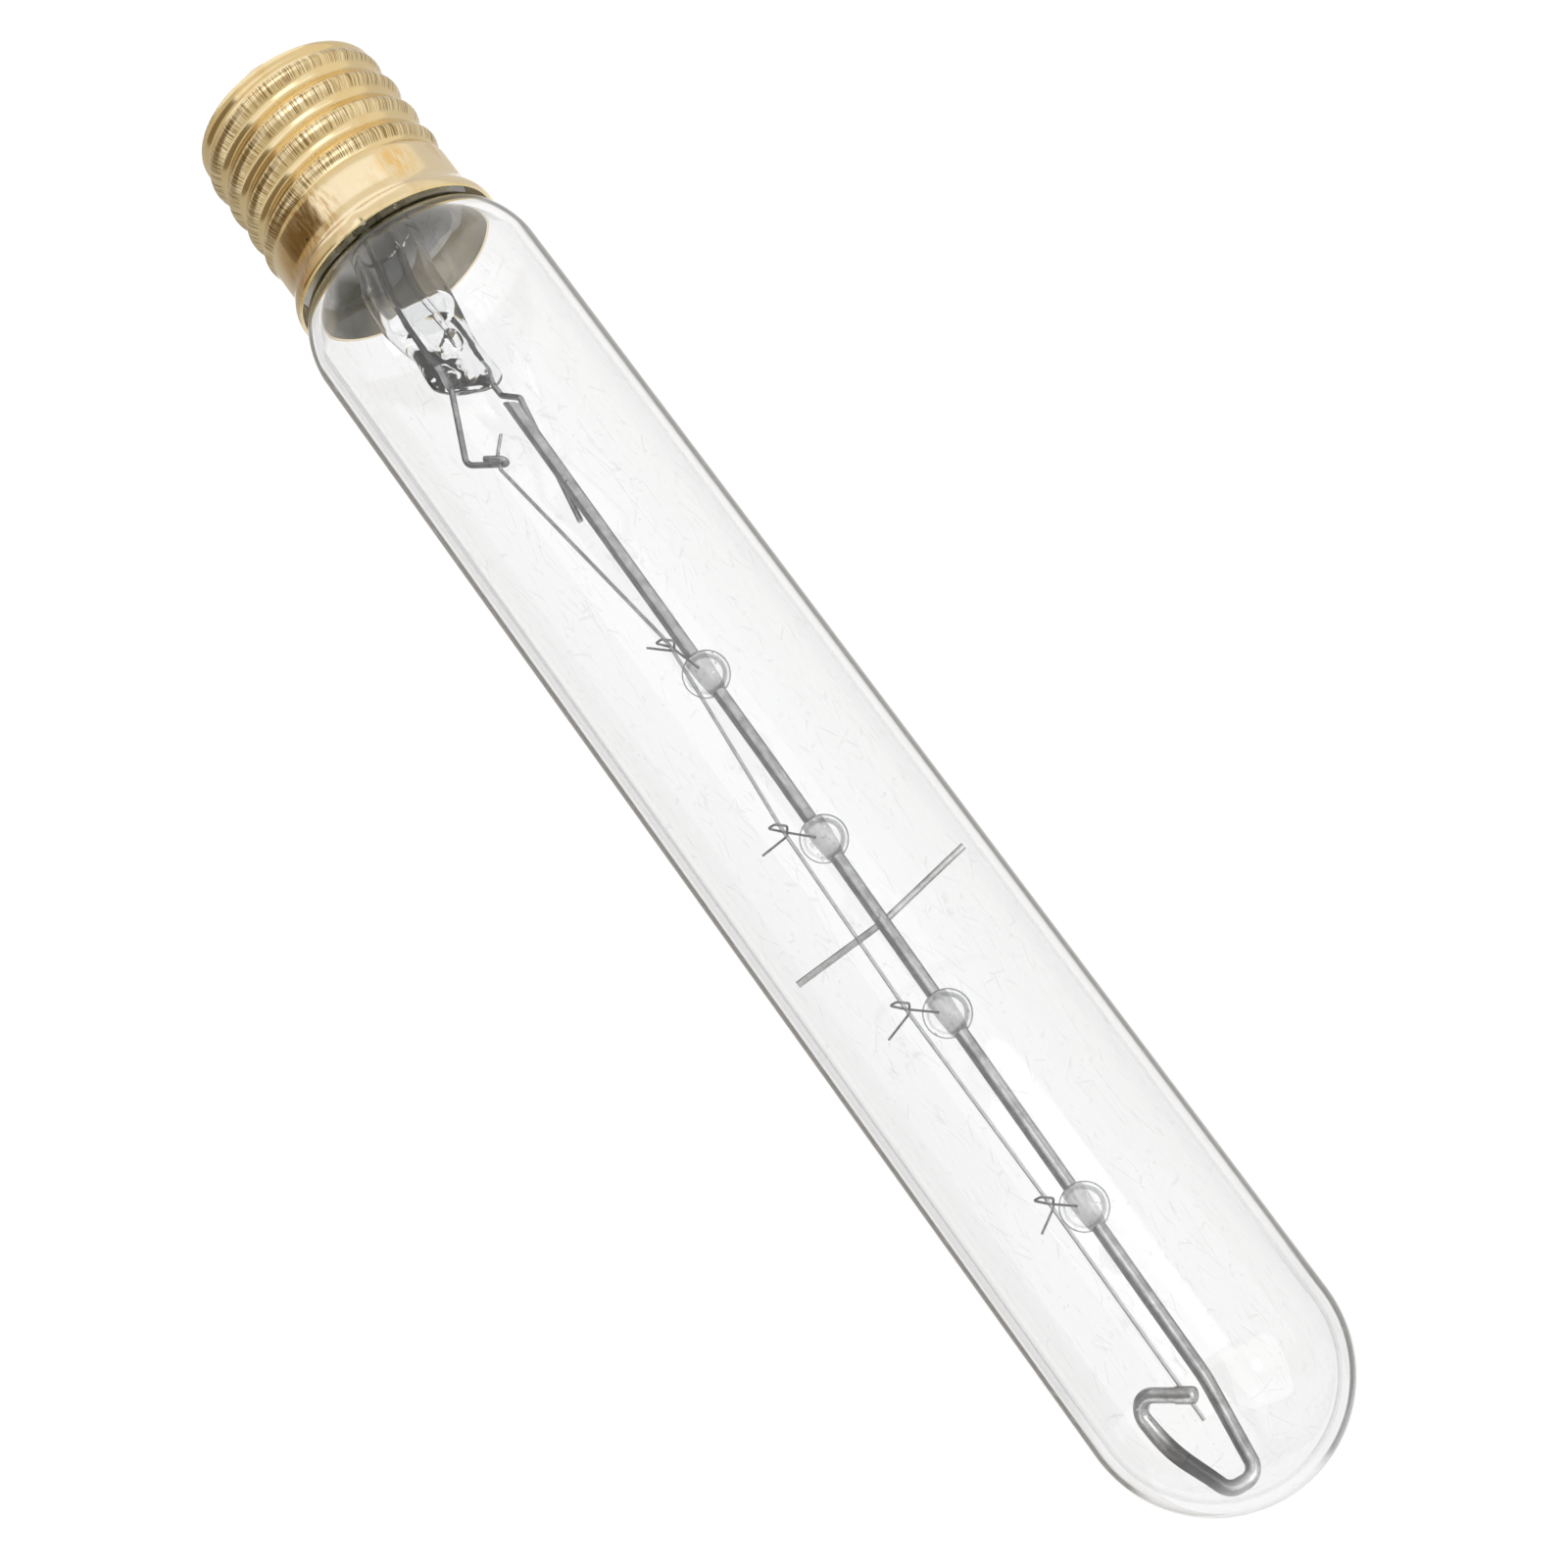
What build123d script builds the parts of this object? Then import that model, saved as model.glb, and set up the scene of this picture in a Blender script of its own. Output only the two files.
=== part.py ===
from build123d import *
import os
from math import acos, asin, atan, cos, degrees, radians, sin, sqrt, tau

# Clear tubular incandescent bulb: a brass intermediate screw cap, a domed glass tube and the filament
# mount inside it. Millimetres. +Z runs along the bulb's axis from the cap to the dome, and the origin is
# the tip of the solder button. The filament hangs on the front (-Y) side of its support rod.

# Glass envelope
overall_length = 139.7  # solder tip to dome
glass_diameter = 20.0
glass_wall = 0.95
neck_end = 10.4  # height at which the neck is sealed to the stem flare
shoulder_radius = 7.6
neck_radius = 6.0  # radius of the hollow curve between the neck and the shoulder
lip_gap = 0.58  # between the shoulder and the rim of the cap

# Screw shell
cap_length = 21.4  # solder tip to the rim of the lip
shell_sheet = 0.3
thread_crest_diameter = 16.6
thread_depth = 0.65
thread_pitch = 2.822
thread_runout = 1.4  # axial length in which the thread rises to its full depth
thread_crest_height = 6.85  # height at which a crest faces +X
thread_sections = 8  # loft sections in each turn
shell_end = 3.8
shell_bend = 1.2
end_flange = 0.475  # flat of the turned-in end
skirt_inset = 0.15  # the skirt stands this far inside the thread's crests
skirt_height = 5.1  # end of the thread to the rim of the lip
lip_flare = 0.85
lip_height = 2.7

# Cap fittings
button_diameter = 2.9
button_height = 1.15
contact_diameter = 6.2
contact_thickness = 0.4
insulator_margin = 0.4  # insulator standing out round the contact plate
insulator_top = 5.2
insulator_bore = 1.2
cement_thickness = 0.55  # between the neck and the thread
cement_recess = 2.5  # below the rim of the lip
cement_height = 6.9
cement_groove = 0.5
side_lead_angle = -88.0  # where the side lead comes out under the lip
side_solder_diameter = 0.6

# Stem
stem_diameter = 6.3
stem_wall = 0.8
stem_offset = 1.0  # the stem leans this far towards +X
flare_recess = 3.0  # from the rim of the lip down to the top of the flare
flare_rim = 0.9
lean_length = 6.1  # stretch in which the stem leans over
collar_length = 1.5  # from there to the press
press_length = 8.1
press_angle = -52.0  # direction of the press's width, about the bulb's axis
press_waist = 6.1
press_width = 7.4  # at its widest, a little before the end
press_thickness = 2.8
press_end_width = 6.4
press_end_thickness = 2.4
press_edge = 0.4
exhaust_diameter = 2.7
exhaust_bore = 1.8
exhaust_tip = 7.4
exhaust_taper = 1.3
exhaust_seat_depth = 1.8  # into the press
exhaust_hole_depth = 4.4
exhaust_hole_diameter = 1.7
exhaust_hole_angle = -125.0  # direction in which the hole opens

# Lead wires
outer_lead_diameter = 0.32
seal_wire_diameter = 0.4
inner_lead_diameter = 0.49
outer_lead_offset = 1.7  # from the stem's axis to each lead in the stem
inner_lead_offset = 2.3  # from the stem's axis to each lead at the end of the press
lead_joint_drop = 0.6  # from the press down to the joint of outer lead and seal wire
seal_joint_depth = 2.2  # from the press's end down to the joint of seal wire and inner lead
outer_lead_bend = 2.0
lead_kink = 0.4  # bend radius at the leads' ends
elbow_offset = (3.83, -2.05, 6.0)  # filament lead's elbow, from the middle of the press's end
elbow_bend = 0.9
clamp_offset = (1.2, -3.05, 8.5)  # fold that clamps the filament, from the same point
clamp_length = 1.65
clamp_roll = 65.0  # turn of the fold about its own wire
clamp_slant = 0.5  # slope at which the filament crosses the fold
rod_lead_jog = 0.8  # the rod lead swings this far past the rod's foot
rod_lead_lean = 1.86
rod_lead_length = 11.5

# Filament mount
rod_diameter = 1.1
rod_gap = 2.6  # from the press to the end of the rod
rod_foot_x = -0.7
rod_shear = 40.0  # slope at which the foot was cut off
rod_knee_x = -0.38
rod_top_x = 0.55
rod_knee_station = 0.4  # share of the rod's height at which it bends a little
rod_knee_bend = 60.0
rod_top_bend = 12.0
crook_near = (0.95, -0.2)  # corners of the crook under the dome, from the top of the straight run
crook_far = (3.25, -0.8)
crook_fall = 0.15
crook_bend = 1.1
crook_low = (5.3, -3.5, -1.75)
crook_end = (1.15, -5.0, 1.6)
crimp_diameter = 1.24
crimp_length = 1.5
dome_clearance = 1.0  # from the rod's hook to the glass
bead_diameter = 3.7
bead_stations = (0.3025, 0.4754, 0.6518, 0.84)  # shares of the rod's height
hook_diameter = 0.18
hook_reach = 4.5  # from each bead to the filament, towards the front
hook_aside = (0.9, 2.03, 2.18, 1.8)  # sideways reach of each hook
hook_drop = (1.9, 0.95, 1.0, 0.77)  # fall of each hook towards the cap
hook_tails = ((1.5, 0.3, -0.9), (2.26, 0.3, 0.72), (2.26, 0.3, 1.3), (1.67, 0.3, 1.6))
hook_eye = 0.55  # size of the eye that each hook makes round the filament
hook_bends = (0.25, 0.12, 0.2, 0.2, 0.2)
hook_root = 0.3  # cover of glass between the hook and the rod
filament_diameter = 0.32
filament_bend = 0.3
filament_eye_bend = 8.0
filament_loose_end = (-1.1, 0, -1.2)  # end left standing at the clamp
filament_tail_length = 2.1  # beyond the crimp
spacer_diameter = 0.55
spacer_station = 0.5575
spacer_gap_left = 1.35  # from the glass to each end
spacer_gap_right = 0.7
spacer_sag = 1.1
spacer_bend = 12.0

clearance = 0.02  # between pieces that are sealed, cast or held in each other

# Worked out from the sizes above
thread_start = shell_end + shell_bend
thread_end = cap_length - skirt_height
crest = thread_crest_diameter / 2
root = crest - thread_depth
thread_mean = (crest + root) / 2
shell_mouth = thread_mean - shell_bend - end_flange
skirt = crest - skirt_inset
lip = skirt + lip_flare
lip_turn = degrees(2 * atan(lip_flare / lip_height))
lip_radius = (lip_flare**2 + lip_height**2) / (4 * lip_flare)
contact_seat = button_height + contact_thickness
cement_top = cap_length - cement_recess
cement_bottom = cement_top - cement_height

glass_outer = glass_diameter / 2
glass_inner = glass_outer - glass_wall
neck_outer = root - shell_sheet - cement_thickness
neck_inner = neck_outer - glass_wall
dome_centre = overall_length - glass_outer
shoulder_centre = glass_outer - shoulder_radius
rim_reach = lip - shell_sheet - lip_gap - shoulder_centre
shoulder_top = cap_length + sqrt(shoulder_radius**2 - rim_reach**2)
neck_turn = degrees(acos(1 - (glass_outer - neck_outer) / (shoulder_radius + neck_radius)))
neck_top = shoulder_top - (shoulder_radius + neck_radius) * sin(radians(neck_turn))

flare_top = cap_length - flare_recess
stem_straight = flare_top + lean_length
press_start = stem_straight + collar_length
press_end = press_start + press_length
exhaust_seat = press_start + exhaust_seat_depth
exhaust_hole_height = press_start + exhaust_hole_depth
lead_joint = press_start - lead_joint_drop
seal_joint = press_end - seal_joint_depth
stem_outer = stem_diameter / 2
stem_inner = stem_outer - stem_wall
press_x_dir = Vector(cos(radians(press_angle)), sin(radians(press_angle)), 0)
hole_direction = Vector(cos(radians(exhaust_hole_angle)), sin(radians(exhaust_hole_angle)), 0)
press_centre = Vector(stem_offset, 0, 0)
filament_side = press_x_dir * outer_lead_offset
rod_side = press_x_dir * -outer_lead_offset
filament_exit = press_centre + press_x_dir * inner_lead_offset
rod_exit = press_centre - press_x_dir * inner_lead_offset

up = Vector(0, 0, 1)
rod_radius = rod_diameter / 2
rod_foot = Vector(rod_foot_x, 0, press_end + rod_gap)
rod_top = Vector(rod_top_x, 0, dome_centre)
rod_knee = Vector(rod_knee_x, 0, rod_foot.Z + (rod_top.Z - rod_foot.Z) * rod_knee_station)


def smooth_step(t):
    """Eases from 0 to 1."""
    t = min(max(t, 0.0), 1.0)
    return t * t * (3 - 2 * t)


def steps(start, end, count):
    """Evenly spaced heights from start to end."""
    return [start + (end - start) * i / count for i in range(count + 1)]


def stem_plane(height):
    """Level plane on the stem's leaning centre line, turned with the press."""
    lean = stem_offset * smooth_step((height - flare_top) / (stem_straight - flare_top))
    return Plane(origin=(lean, 0, height), x_dir=press_x_dir, z_dir=up)


def bent_wire(points, bends, diameter):
    """Round wire along straight runs joined by bends."""
    with BuildPart() as wire:
        with BuildLine() as route:
            FilletPolyline(*points, radius=bends)
        path = route.wire()
        with BuildSketch(Plane(origin=path @ 0, z_dir=path % 0)):
            Circle(diameter / 2)
        sweep(path=path)
    return wire


def save(piece, name):
    """Labels a finished piece and writes it."""
    piece.part.label = name
    export_step(piece.part, f"parts/{name}.step")


os.makedirs("parts", exist_ok=True)


# Screw shell: the rolled thread is a round tube whose centre winds round the axis on a small helix
def thread_plane(height):
    rise = min(height - thread_start, thread_end - height) / thread_runout
    swing = thread_depth / 2 * smooth_step(rise)
    angle = tau * (height - thread_crest_height) / thread_pitch
    return Plane(origin=(swing * cos(angle), swing * sin(angle), height))


def thread_radius(height):
    return thread_mean + (skirt - thread_mean) * smooth_step((height - thread_end) / thread_pitch + 1)


thread_heights = steps(
    thread_start, thread_end, round((thread_end - thread_start) / thread_pitch * thread_sections)
)
with BuildPart() as screw_shell:
    for height in thread_heights:
        with BuildSketch(thread_plane(height)):
            Circle(thread_radius(height))
    loft()
    for height in thread_heights:
        with BuildSketch(thread_plane(height)):
            Circle(thread_radius(height) - shell_sheet)
    loft(mode=Mode.SUBTRACT)
    with BuildSketch(Plane.XZ):
        with BuildLine():
            floor = Line((shell_mouth, shell_end), (shell_mouth + end_flange, shell_end))
            outer_bend = JernArc(floor @ 1, (1, 0), shell_bend, 90)
            seam = Line(outer_bend @ 1, outer_bend @ 1 - Vector(shell_sheet, 0))
            inner_bend = JernArc(seam @ 1, (0, -1), shell_bend - shell_sheet, -90)
            Polyline(inner_bend @ 1, floor @ 0 + Vector(0, shell_sheet), floor @ 0)
        make_face()
    revolve(axis=Axis.Z)
    with BuildSketch(Plane.XZ):
        with BuildLine():
            skirt_line = Line((skirt, thread_end), (skirt, cap_length - lip_height))
            swing_out = JernArc(skirt_line @ 1, (0, 1), lip_radius, -lip_turn)
            swing_up = JernArc(swing_out @ 1, swing_out % 1, lip_radius, lip_turn)
            rim = Line(swing_up @ 1, swing_up @ 1 - Vector(shell_sheet, 0))
            swing_down = JernArc(rim @ 1, (0, -1), lip_radius, -lip_turn)
            swing_in = JernArc(swing_down @ 1, swing_down % 1, lip_radius, lip_turn)
            Polyline(swing_in @ 1, skirt_line @ 0 - Vector(shell_sheet, 0), skirt_line @ 0)
        make_face()
    revolve(axis=Axis.Z)
save(screw_shell, "screw_shell")

# Insulator: a dark glass plug that the shell's end is turned in over
insulator_flange = thread_mean - shell_bend
insulator_throat = shell_mouth - clearance
with BuildPart() as cap_insulator:
    with BuildSketch(Plane.XZ):
        with BuildLine():
            Polyline(
                (insulator_bore / 2, contact_seat),
                (contact_diameter / 2 + insulator_margin, contact_seat),
                (insulator_throat, shell_end),
                (insulator_throat, shell_end + shell_sheet),
                (insulator_flange, shell_end + shell_sheet),
                (insulator_flange, insulator_top),
                (insulator_bore / 2, insulator_top),
                close=True,
            )
        make_face()
    revolve(axis=Axis.Z)
save(cap_insulator, "cap_insulator")

# Contact plate and its solder button
with BuildPart() as centre_contact:
    with BuildSketch(Plane.XY.offset(button_height)):
        Circle(contact_diameter / 2)
        Circle(outer_lead_diameter / 2 + clearance, mode=Mode.SUBTRACT)
    extrude(amount=contact_thickness)
    fillet(centre_contact.edges().group_by(Axis.Z)[0].sort_by(SortBy.RADIUS)[-1], contact_thickness / 2)
save(centre_contact, "centre_contact")

with BuildPart() as contact_solder:
    with BuildSketch(Plane.XZ):
        with BuildLine():
            base = Line((0, button_height), (button_diameter / 2, button_height))
            ball = ((button_diameter / 2) ** 2 + button_height**2) / (2 * button_height)
            turn = degrees(asin(button_diameter / 2 / ball))
            button = JernArc((0, 0), (1, 0), ball, turn if button_height < ball else 180 - turn)
            Line(button @ 0, base @ 0)
        make_face()
    revolve(axis=Axis.Z)
save(contact_solder, "contact_solder")

# Cement ring, with the groove that the side lead lies in
cement_curve = neck_radius - clearance
cement_turn = degrees(asin((cement_top - neck_top) / cement_curve))
cement_thread = root - shell_sheet - 2 * clearance
cement_skirt = skirt - shell_sheet - 2 * clearance
with BuildPart() as basing_cement:
    with BuildSketch(Plane.XZ):
        with BuildLine():
            neck_line = Line((neck_outer + clearance, cement_bottom), (neck_outer + clearance, neck_top))
            hollow = JernArc(neck_line @ 1, (0, 1), cement_curve, -cement_turn)
            Polyline(
                hollow @ 1,
                (cement_skirt, cement_top),
                (cement_skirt, thread_end),
                (cement_thread, thread_end),
                (cement_thread, cement_bottom),
                neck_line @ 0,
            )
        make_face()
    revolve(axis=Axis.Z)
    groove_plane = Plane.XY.rotated((0, 0, side_lead_angle)).offset(cement_bottom)
    with BuildSketch(groove_plane):
        with Locations((neck_outer + 2 * clearance, 0)):
            Rectangle(glass_outer, cement_groove, align=(Align.MIN, Align.CENTER))
    extrude(amount=cement_top - cement_bottom, mode=Mode.SUBTRACT)
save(basing_cement, "basing_cement")

# Envelope: neck, shoulder, tube and dome in one blown wall
with BuildPart() as glass_envelope:
    with BuildSketch(Plane.XZ):
        with BuildLine():
            neck_side = Line((neck_outer, neck_end), (neck_outer, neck_top))
            hollow = JernArc(neck_side @ 1, (0, 1), neck_radius, -neck_turn)
            shoulder = JernArc(hollow @ 1, hollow % 1, shoulder_radius, neck_turn)
            tube = Line(shoulder @ 1, (glass_outer, dome_centre))
            dome = JernArc(tube @ 1, (0, 1), glass_outer, 90)
            tip = Line(dome @ 1, (0, overall_length - glass_wall))
            dome_inside = JernArc(tip @ 1, (1, 0), glass_inner, -90)
            tube_inside = Line(dome_inside @ 1, (glass_inner, shoulder_top))
            shoulder_in = JernArc(tube_inside @ 1, (0, -1), shoulder_radius - glass_wall, -neck_turn)
            hollow_in = JernArc(shoulder_in @ 1, shoulder_in % 1, neck_radius + glass_wall, neck_turn)
            Polyline(hollow_in @ 1, (neck_inner, neck_end), neck_side @ 0)
        make_face()
    revolve(axis=Axis.Z)
save(glass_envelope, "glass_envelope")

# Stem: a flare sealed to the neck, a leaning tube, and the flattened press that holds the wires
flare_height = flare_top - neck_end
flare_width = neck_inner - stem_outer
flare_radius = (flare_width**2 + flare_height**2) / (2 * flare_width)
flare_turn = degrees(asin(flare_height / flare_radius))
rim_foot = neck_end - flare_rim
under_radius = flare_radius + stem_wall
under_turn = degrees(asin((flare_top - rim_foot) / under_radius))
lean_heights = steps(flare_top, stem_straight, 4)
joint_share = (seal_joint - lead_joint) / (press_end - lead_joint)
filament_foot = press_centre + filament_side + up * lead_joint
filament_mouth = filament_exit + up * press_end
filament_joint = filament_foot + (filament_mouth - filament_foot) * joint_share
rod_lead_foot = press_centre + rod_side + up * lead_joint
rod_lead_mouth = rod_exit + up * press_end
rod_lead_joint = rod_lead_foot + (rod_lead_mouth - rod_lead_foot) * joint_share
# Share of the press's length, half width and half depth
press_sections = (
    (0.0, stem_outer, stem_outer),
    (0.25, (stem_outer + press_waist / 2) / 2, (stem_outer + press_thickness / 2) * 0.58),
    (0.5, press_waist / 2, press_thickness * 0.7),
    (0.75, press_width / 2 * 0.985, press_thickness * 0.535),
    (0.9, press_width / 2, press_thickness / 2),
    (1.0, press_end_width / 2, press_end_thickness / 2),
)
with BuildPart() as glass_stem:
    for height in lean_heights:
        with BuildSketch(stem_plane(height)):
            Circle(stem_outer)
    for share, half_width, half_depth in press_sections:
        with BuildSketch(stem_plane(press_start + share * press_length)):
            Ellipse(half_width, half_depth)
    loft()
    fillet(glass_stem.faces().sort_by(Axis.Z)[-1].edges(), press_edge)
    for height in (*lean_heights, press_start):
        with BuildSketch(stem_plane(height)):
            Circle(stem_inner)
    with BuildSketch(stem_plane(exhaust_seat)):
        Circle(exhaust_diameter / 2 + clearance)
    loft(mode=Mode.SUBTRACT)
    with BuildSketch(Plane.XZ):
        with BuildLine():
            flare = JernArc((stem_outer, flare_top), (0, -1), flare_radius, flare_turn)
            under = JernArc((stem_inner, flare_top), (0, -1), under_radius, under_turn)
            Polyline(flare @ 1, (neck_outer, neck_end), (neck_outer, rim_foot), under @ 1)
            Line(under @ 0, flare @ 0)
        make_face()
    revolve(axis=Axis.Z)
    with BuildSketch(stem_plane(exhaust_seat)):
        Circle(exhaust_bore / 2)
    extrude(amount=exhaust_hole_height - exhaust_seat, mode=Mode.SUBTRACT)
    with BuildSketch(Plane(origin=press_centre + up * exhaust_hole_height, z_dir=hole_direction)):
        Circle(exhaust_hole_diameter / 2)
    extrude(amount=stem_outer, mode=Mode.SUBTRACT)
    for foot, joint, mouth in (
        (filament_foot, filament_joint, filament_mouth),
        (rod_lead_foot, rod_lead_joint, rod_lead_mouth),
    ):
        wire_direction = (mouth - foot).normalized()
        with BuildSketch(Plane(origin=foot, z_dir=wire_direction)):
            Circle(seal_wire_diameter / 2 + clearance)
        extrude(amount=(mouth - foot).length, mode=Mode.SUBTRACT)
        with BuildSketch(Plane(origin=joint, z_dir=wire_direction)):
            Circle(inner_lead_diameter / 2 + clearance)
        extrude(amount=press_length, mode=Mode.SUBTRACT)
save(glass_stem, "glass_stem")

# Exhaust tube, drawn out and closed at its lower end
with BuildPart() as exhaust_tube:
    with BuildSketch(Plane.XY.offset(exhaust_tip)):
        Circle(exhaust_bore / 4)
    with BuildSketch(Plane.XY.offset(exhaust_tip + exhaust_taper)):
        Circle(exhaust_diameter / 2)
    loft()
    with BuildSketch(Plane.XY.offset(exhaust_tip + exhaust_taper)):
        Circle(exhaust_diameter / 2)
    extrude(amount=flare_top - exhaust_tip - exhaust_taper)
    for height in (*lean_heights, exhaust_seat):
        with BuildSketch(stem_plane(height)):
            Circle(exhaust_diameter / 2)
    loft()
    with BuildSketch(Plane.XY.offset(exhaust_tip + exhaust_taper)):
        Circle(exhaust_bore / 2)
    extrude(amount=flare_top - exhaust_tip - exhaust_taper, mode=Mode.SUBTRACT)
    for height in (*lean_heights, exhaust_seat):
        with BuildSketch(stem_plane(height)):
            Circle(exhaust_bore / 2)
    loft(mode=Mode.SUBTRACT)
save(exhaust_tube, "exhaust_tube")

# Outer leads, from the stem down to the contact and out to the lip
centre_lead_route = (
    rod_lead_foot,
    press_centre + rod_side + up * stem_straight,
    rod_side + up * flare_top,
    rod_side + up * (exhaust_tip + exhaust_taper / 2),
    up * (insulator_top + outer_lead_diameter),
    up * button_height,
)
outer_lead_centre = bent_wire(
    centre_lead_route, (lead_kink, outer_lead_bend, outer_lead_bend, lead_kink), outer_lead_diameter
)
save(outer_lead_centre, "outer_lead_centre")

side_direction = Vector(cos(radians(side_lead_angle)), sin(radians(side_lead_angle)), 0)
side_run = (neck_outer + root - shell_sheet) / 2
side_end = lip - shell_sheet - side_solder_diameter / 2 - 2 * clearance
side_end_height = cap_length - side_solder_diameter
side_lead_route = (
    filament_foot,
    press_centre + filament_side + up * stem_straight,
    filament_side + up * flare_top,
    filament_side + up * (rim_foot - 3 * outer_lead_diameter),
    side_direction * side_run + up * (rim_foot - 4 * outer_lead_diameter),
    side_direction * side_run + up * (thread_end + outer_lead_diameter),
    side_direction * (skirt - shell_sheet - outer_lead_diameter) + up * (cap_length - lip_height),
    side_direction * side_end + up * side_end_height,
)
side_bends = (lead_kink, outer_lead_bend, lead_kink, lead_kink, lead_kink, lead_kink)
outer_lead_side = bent_wire(side_lead_route, side_bends, outer_lead_diameter)
save(outer_lead_side, "outer_lead_side")

with BuildPart() as side_solder:
    with Locations(side_direction * side_end + up * (side_end_height + side_solder_diameter / 2)):
        Sphere(side_solder_diameter / 2)
save(side_solder, "side_solder")

# Seal wires, straight through the press
for name, foot, joint in (
    ("seal_wire_filament", filament_foot, filament_joint),
    ("seal_wire_rod", rod_lead_foot, rod_lead_joint),
):
    with BuildPart() as seal_wire:
        with BuildSketch(Plane(origin=foot, z_dir=(joint - foot).normalized())):
            Circle(seal_wire_diameter / 2)
        extrude(amount=(joint - foot).length)
    save(seal_wire, name)

# Filament lead: out of the press, aside, and folded back on itself to clamp the filament
press_top = press_centre + up * press_end
clamp_pitch = inner_lead_diameter + filament_diameter + 2 * clearance
lead_elbow = press_top + Vector(elbow_offset)
fold_far = press_top + Vector(clamp_offset)
clamp_along = (fold_far - lead_elbow).normalized()
clamp_rising = (up - clamp_along * up.dot(clamp_along)).normalized()
clamp_away = clamp_along.cross(clamp_rising)
clamp_across = clamp_rising * -cos(radians(clamp_roll)) - clamp_away * sin(radians(clamp_roll))
clamp_through = clamp_rising * sin(radians(clamp_roll)) - clamp_away * cos(radians(clamp_roll))
fold_back = fold_far + clamp_across * clamp_pitch
filament_lead_route = (
    filament_joint,
    filament_mouth,
    lead_elbow,
    fold_far,
    fold_back,
    fold_back - clamp_along * clamp_length,
)
fold_bend = clamp_pitch / 2 - clearance
filament_lead_bends = (elbow_bend, elbow_bend, fold_bend, fold_bend)
filament_lead = bent_wire(filament_lead_route, filament_lead_bends, inner_lead_diameter)
save(filament_lead, "filament_lead")

# Rod lead: jogs aside and runs down behind the rod, to which it is welded
rod_lead_depth = rod_radius + inner_lead_diameter / 2 + clearance
rod_lead_corner = rod_foot + Vector(-rod_lead_jog, rod_lead_depth, 0)
rod_lead_route = (
    rod_lead_joint,
    rod_lead_mouth + (rod_lead_mouth - rod_lead_joint).normalized(),
    rod_lead_corner,
    rod_lead_corner + Vector(rod_lead_lean, 0, rod_lead_length),
)
rod_lead = bent_wire(rod_lead_route, lead_kink, inner_lead_diameter)
save(rod_lead, "rod_lead")

# Support rod: straight up the tube, round in a hook under the dome, and back to a crimped end
crook_rise = glass_inner - rod_radius - dome_clearance
crook_top = rod_top + up * crook_rise
rod_low_corner = rod_top + Vector(crook_low)
rod_end = rod_top + Vector(crook_end)
rod_route = (
    rod_foot,
    rod_knee,
    rod_top,
    crook_top + Vector(crook_near),
    crook_top + Vector(crook_far) - up * crook_fall,
    rod_low_corner,
    rod_end,
)
rod_bends = (rod_knee_bend, rod_top_bend, crook_bend, crook_bend, crook_bend)
end_direction = (rod_end - rod_low_corner).normalized()
filament_end = rod_end - end_direction * crimp_length / 2


def rod_point(station):
    """Point on the rod's centre line at a share of its height."""
    if station < rod_knee_station:
        return rod_foot + (rod_knee - rod_foot) * (station / rod_knee_station)
    return rod_knee + (rod_top - rod_knee) * ((station - rod_knee_station) / (1 - rod_knee_station))


beads = [rod_point(station) for station in bead_stations]
eyes = [
    bead + Vector(aside, -hook_reach, -drop)
    for bead, aside, drop in zip(beads, hook_aside, hook_drop)
]
clamp_point = (fold_far + fold_back) * 0.5 - clamp_along * (clamp_pitch + filament_diameter) / 2
clamp_crossing = (clamp_through + clamp_along * clamp_slant).normalized()
filament_start = clamp_point + clamp_crossing * (inner_lead_diameter + filament_bend)
filament_tail = clamp_point - clamp_crossing * (inner_lead_diameter + filament_bend)
filament_last = (filament_end - eyes[-1]).normalized()
filament_route = (
    filament_tail + Vector(filament_loose_end),
    filament_tail,
    filament_start,
    *eyes,
    filament_end + filament_last * filament_tail_length,
)
filament_bends = (filament_bend, filament_bend, *[filament_eye_bend] * len(eyes))
filament = bent_wire(filament_route, filament_bends, filament_diameter)
save(filament, "filament")

with BuildPart() as support_rod:
    with BuildLine() as rod_line:
        FilletPolyline(*rod_route, radius=rod_bends)
    rod_path = rod_line.wire()
    with BuildSketch(Plane(origin=rod_path @ 0, z_dir=rod_path % 0)):
        Circle(rod_radius)
    sweep(path=rod_path)
    shear_direction = Vector(sin(radians(rod_shear)), 0, cos(radians(rod_shear)))
    split(bisect_by=Plane(origin=rod_foot + Vector(rod_radius, 0, 0), z_dir=shear_direction), keep=Keep.TOP)
    with BuildSketch(Plane(origin=rod_end, z_dir=-end_direction)):
        Circle(crimp_diameter / 2)
    extrude(amount=crimp_length)
    fillet(support_rod.faces().sort_by_distance(rod_end)[0].edges(), crimp_diameter / 4)
    with BuildSketch(Plane(origin=filament_end, z_dir=filament_last)):
        Circle(filament_diameter / 2 + clearance)
    extrude(amount=crimp_diameter, both=True, mode=Mode.SUBTRACT)
save(support_rod, "support_rod")

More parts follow.
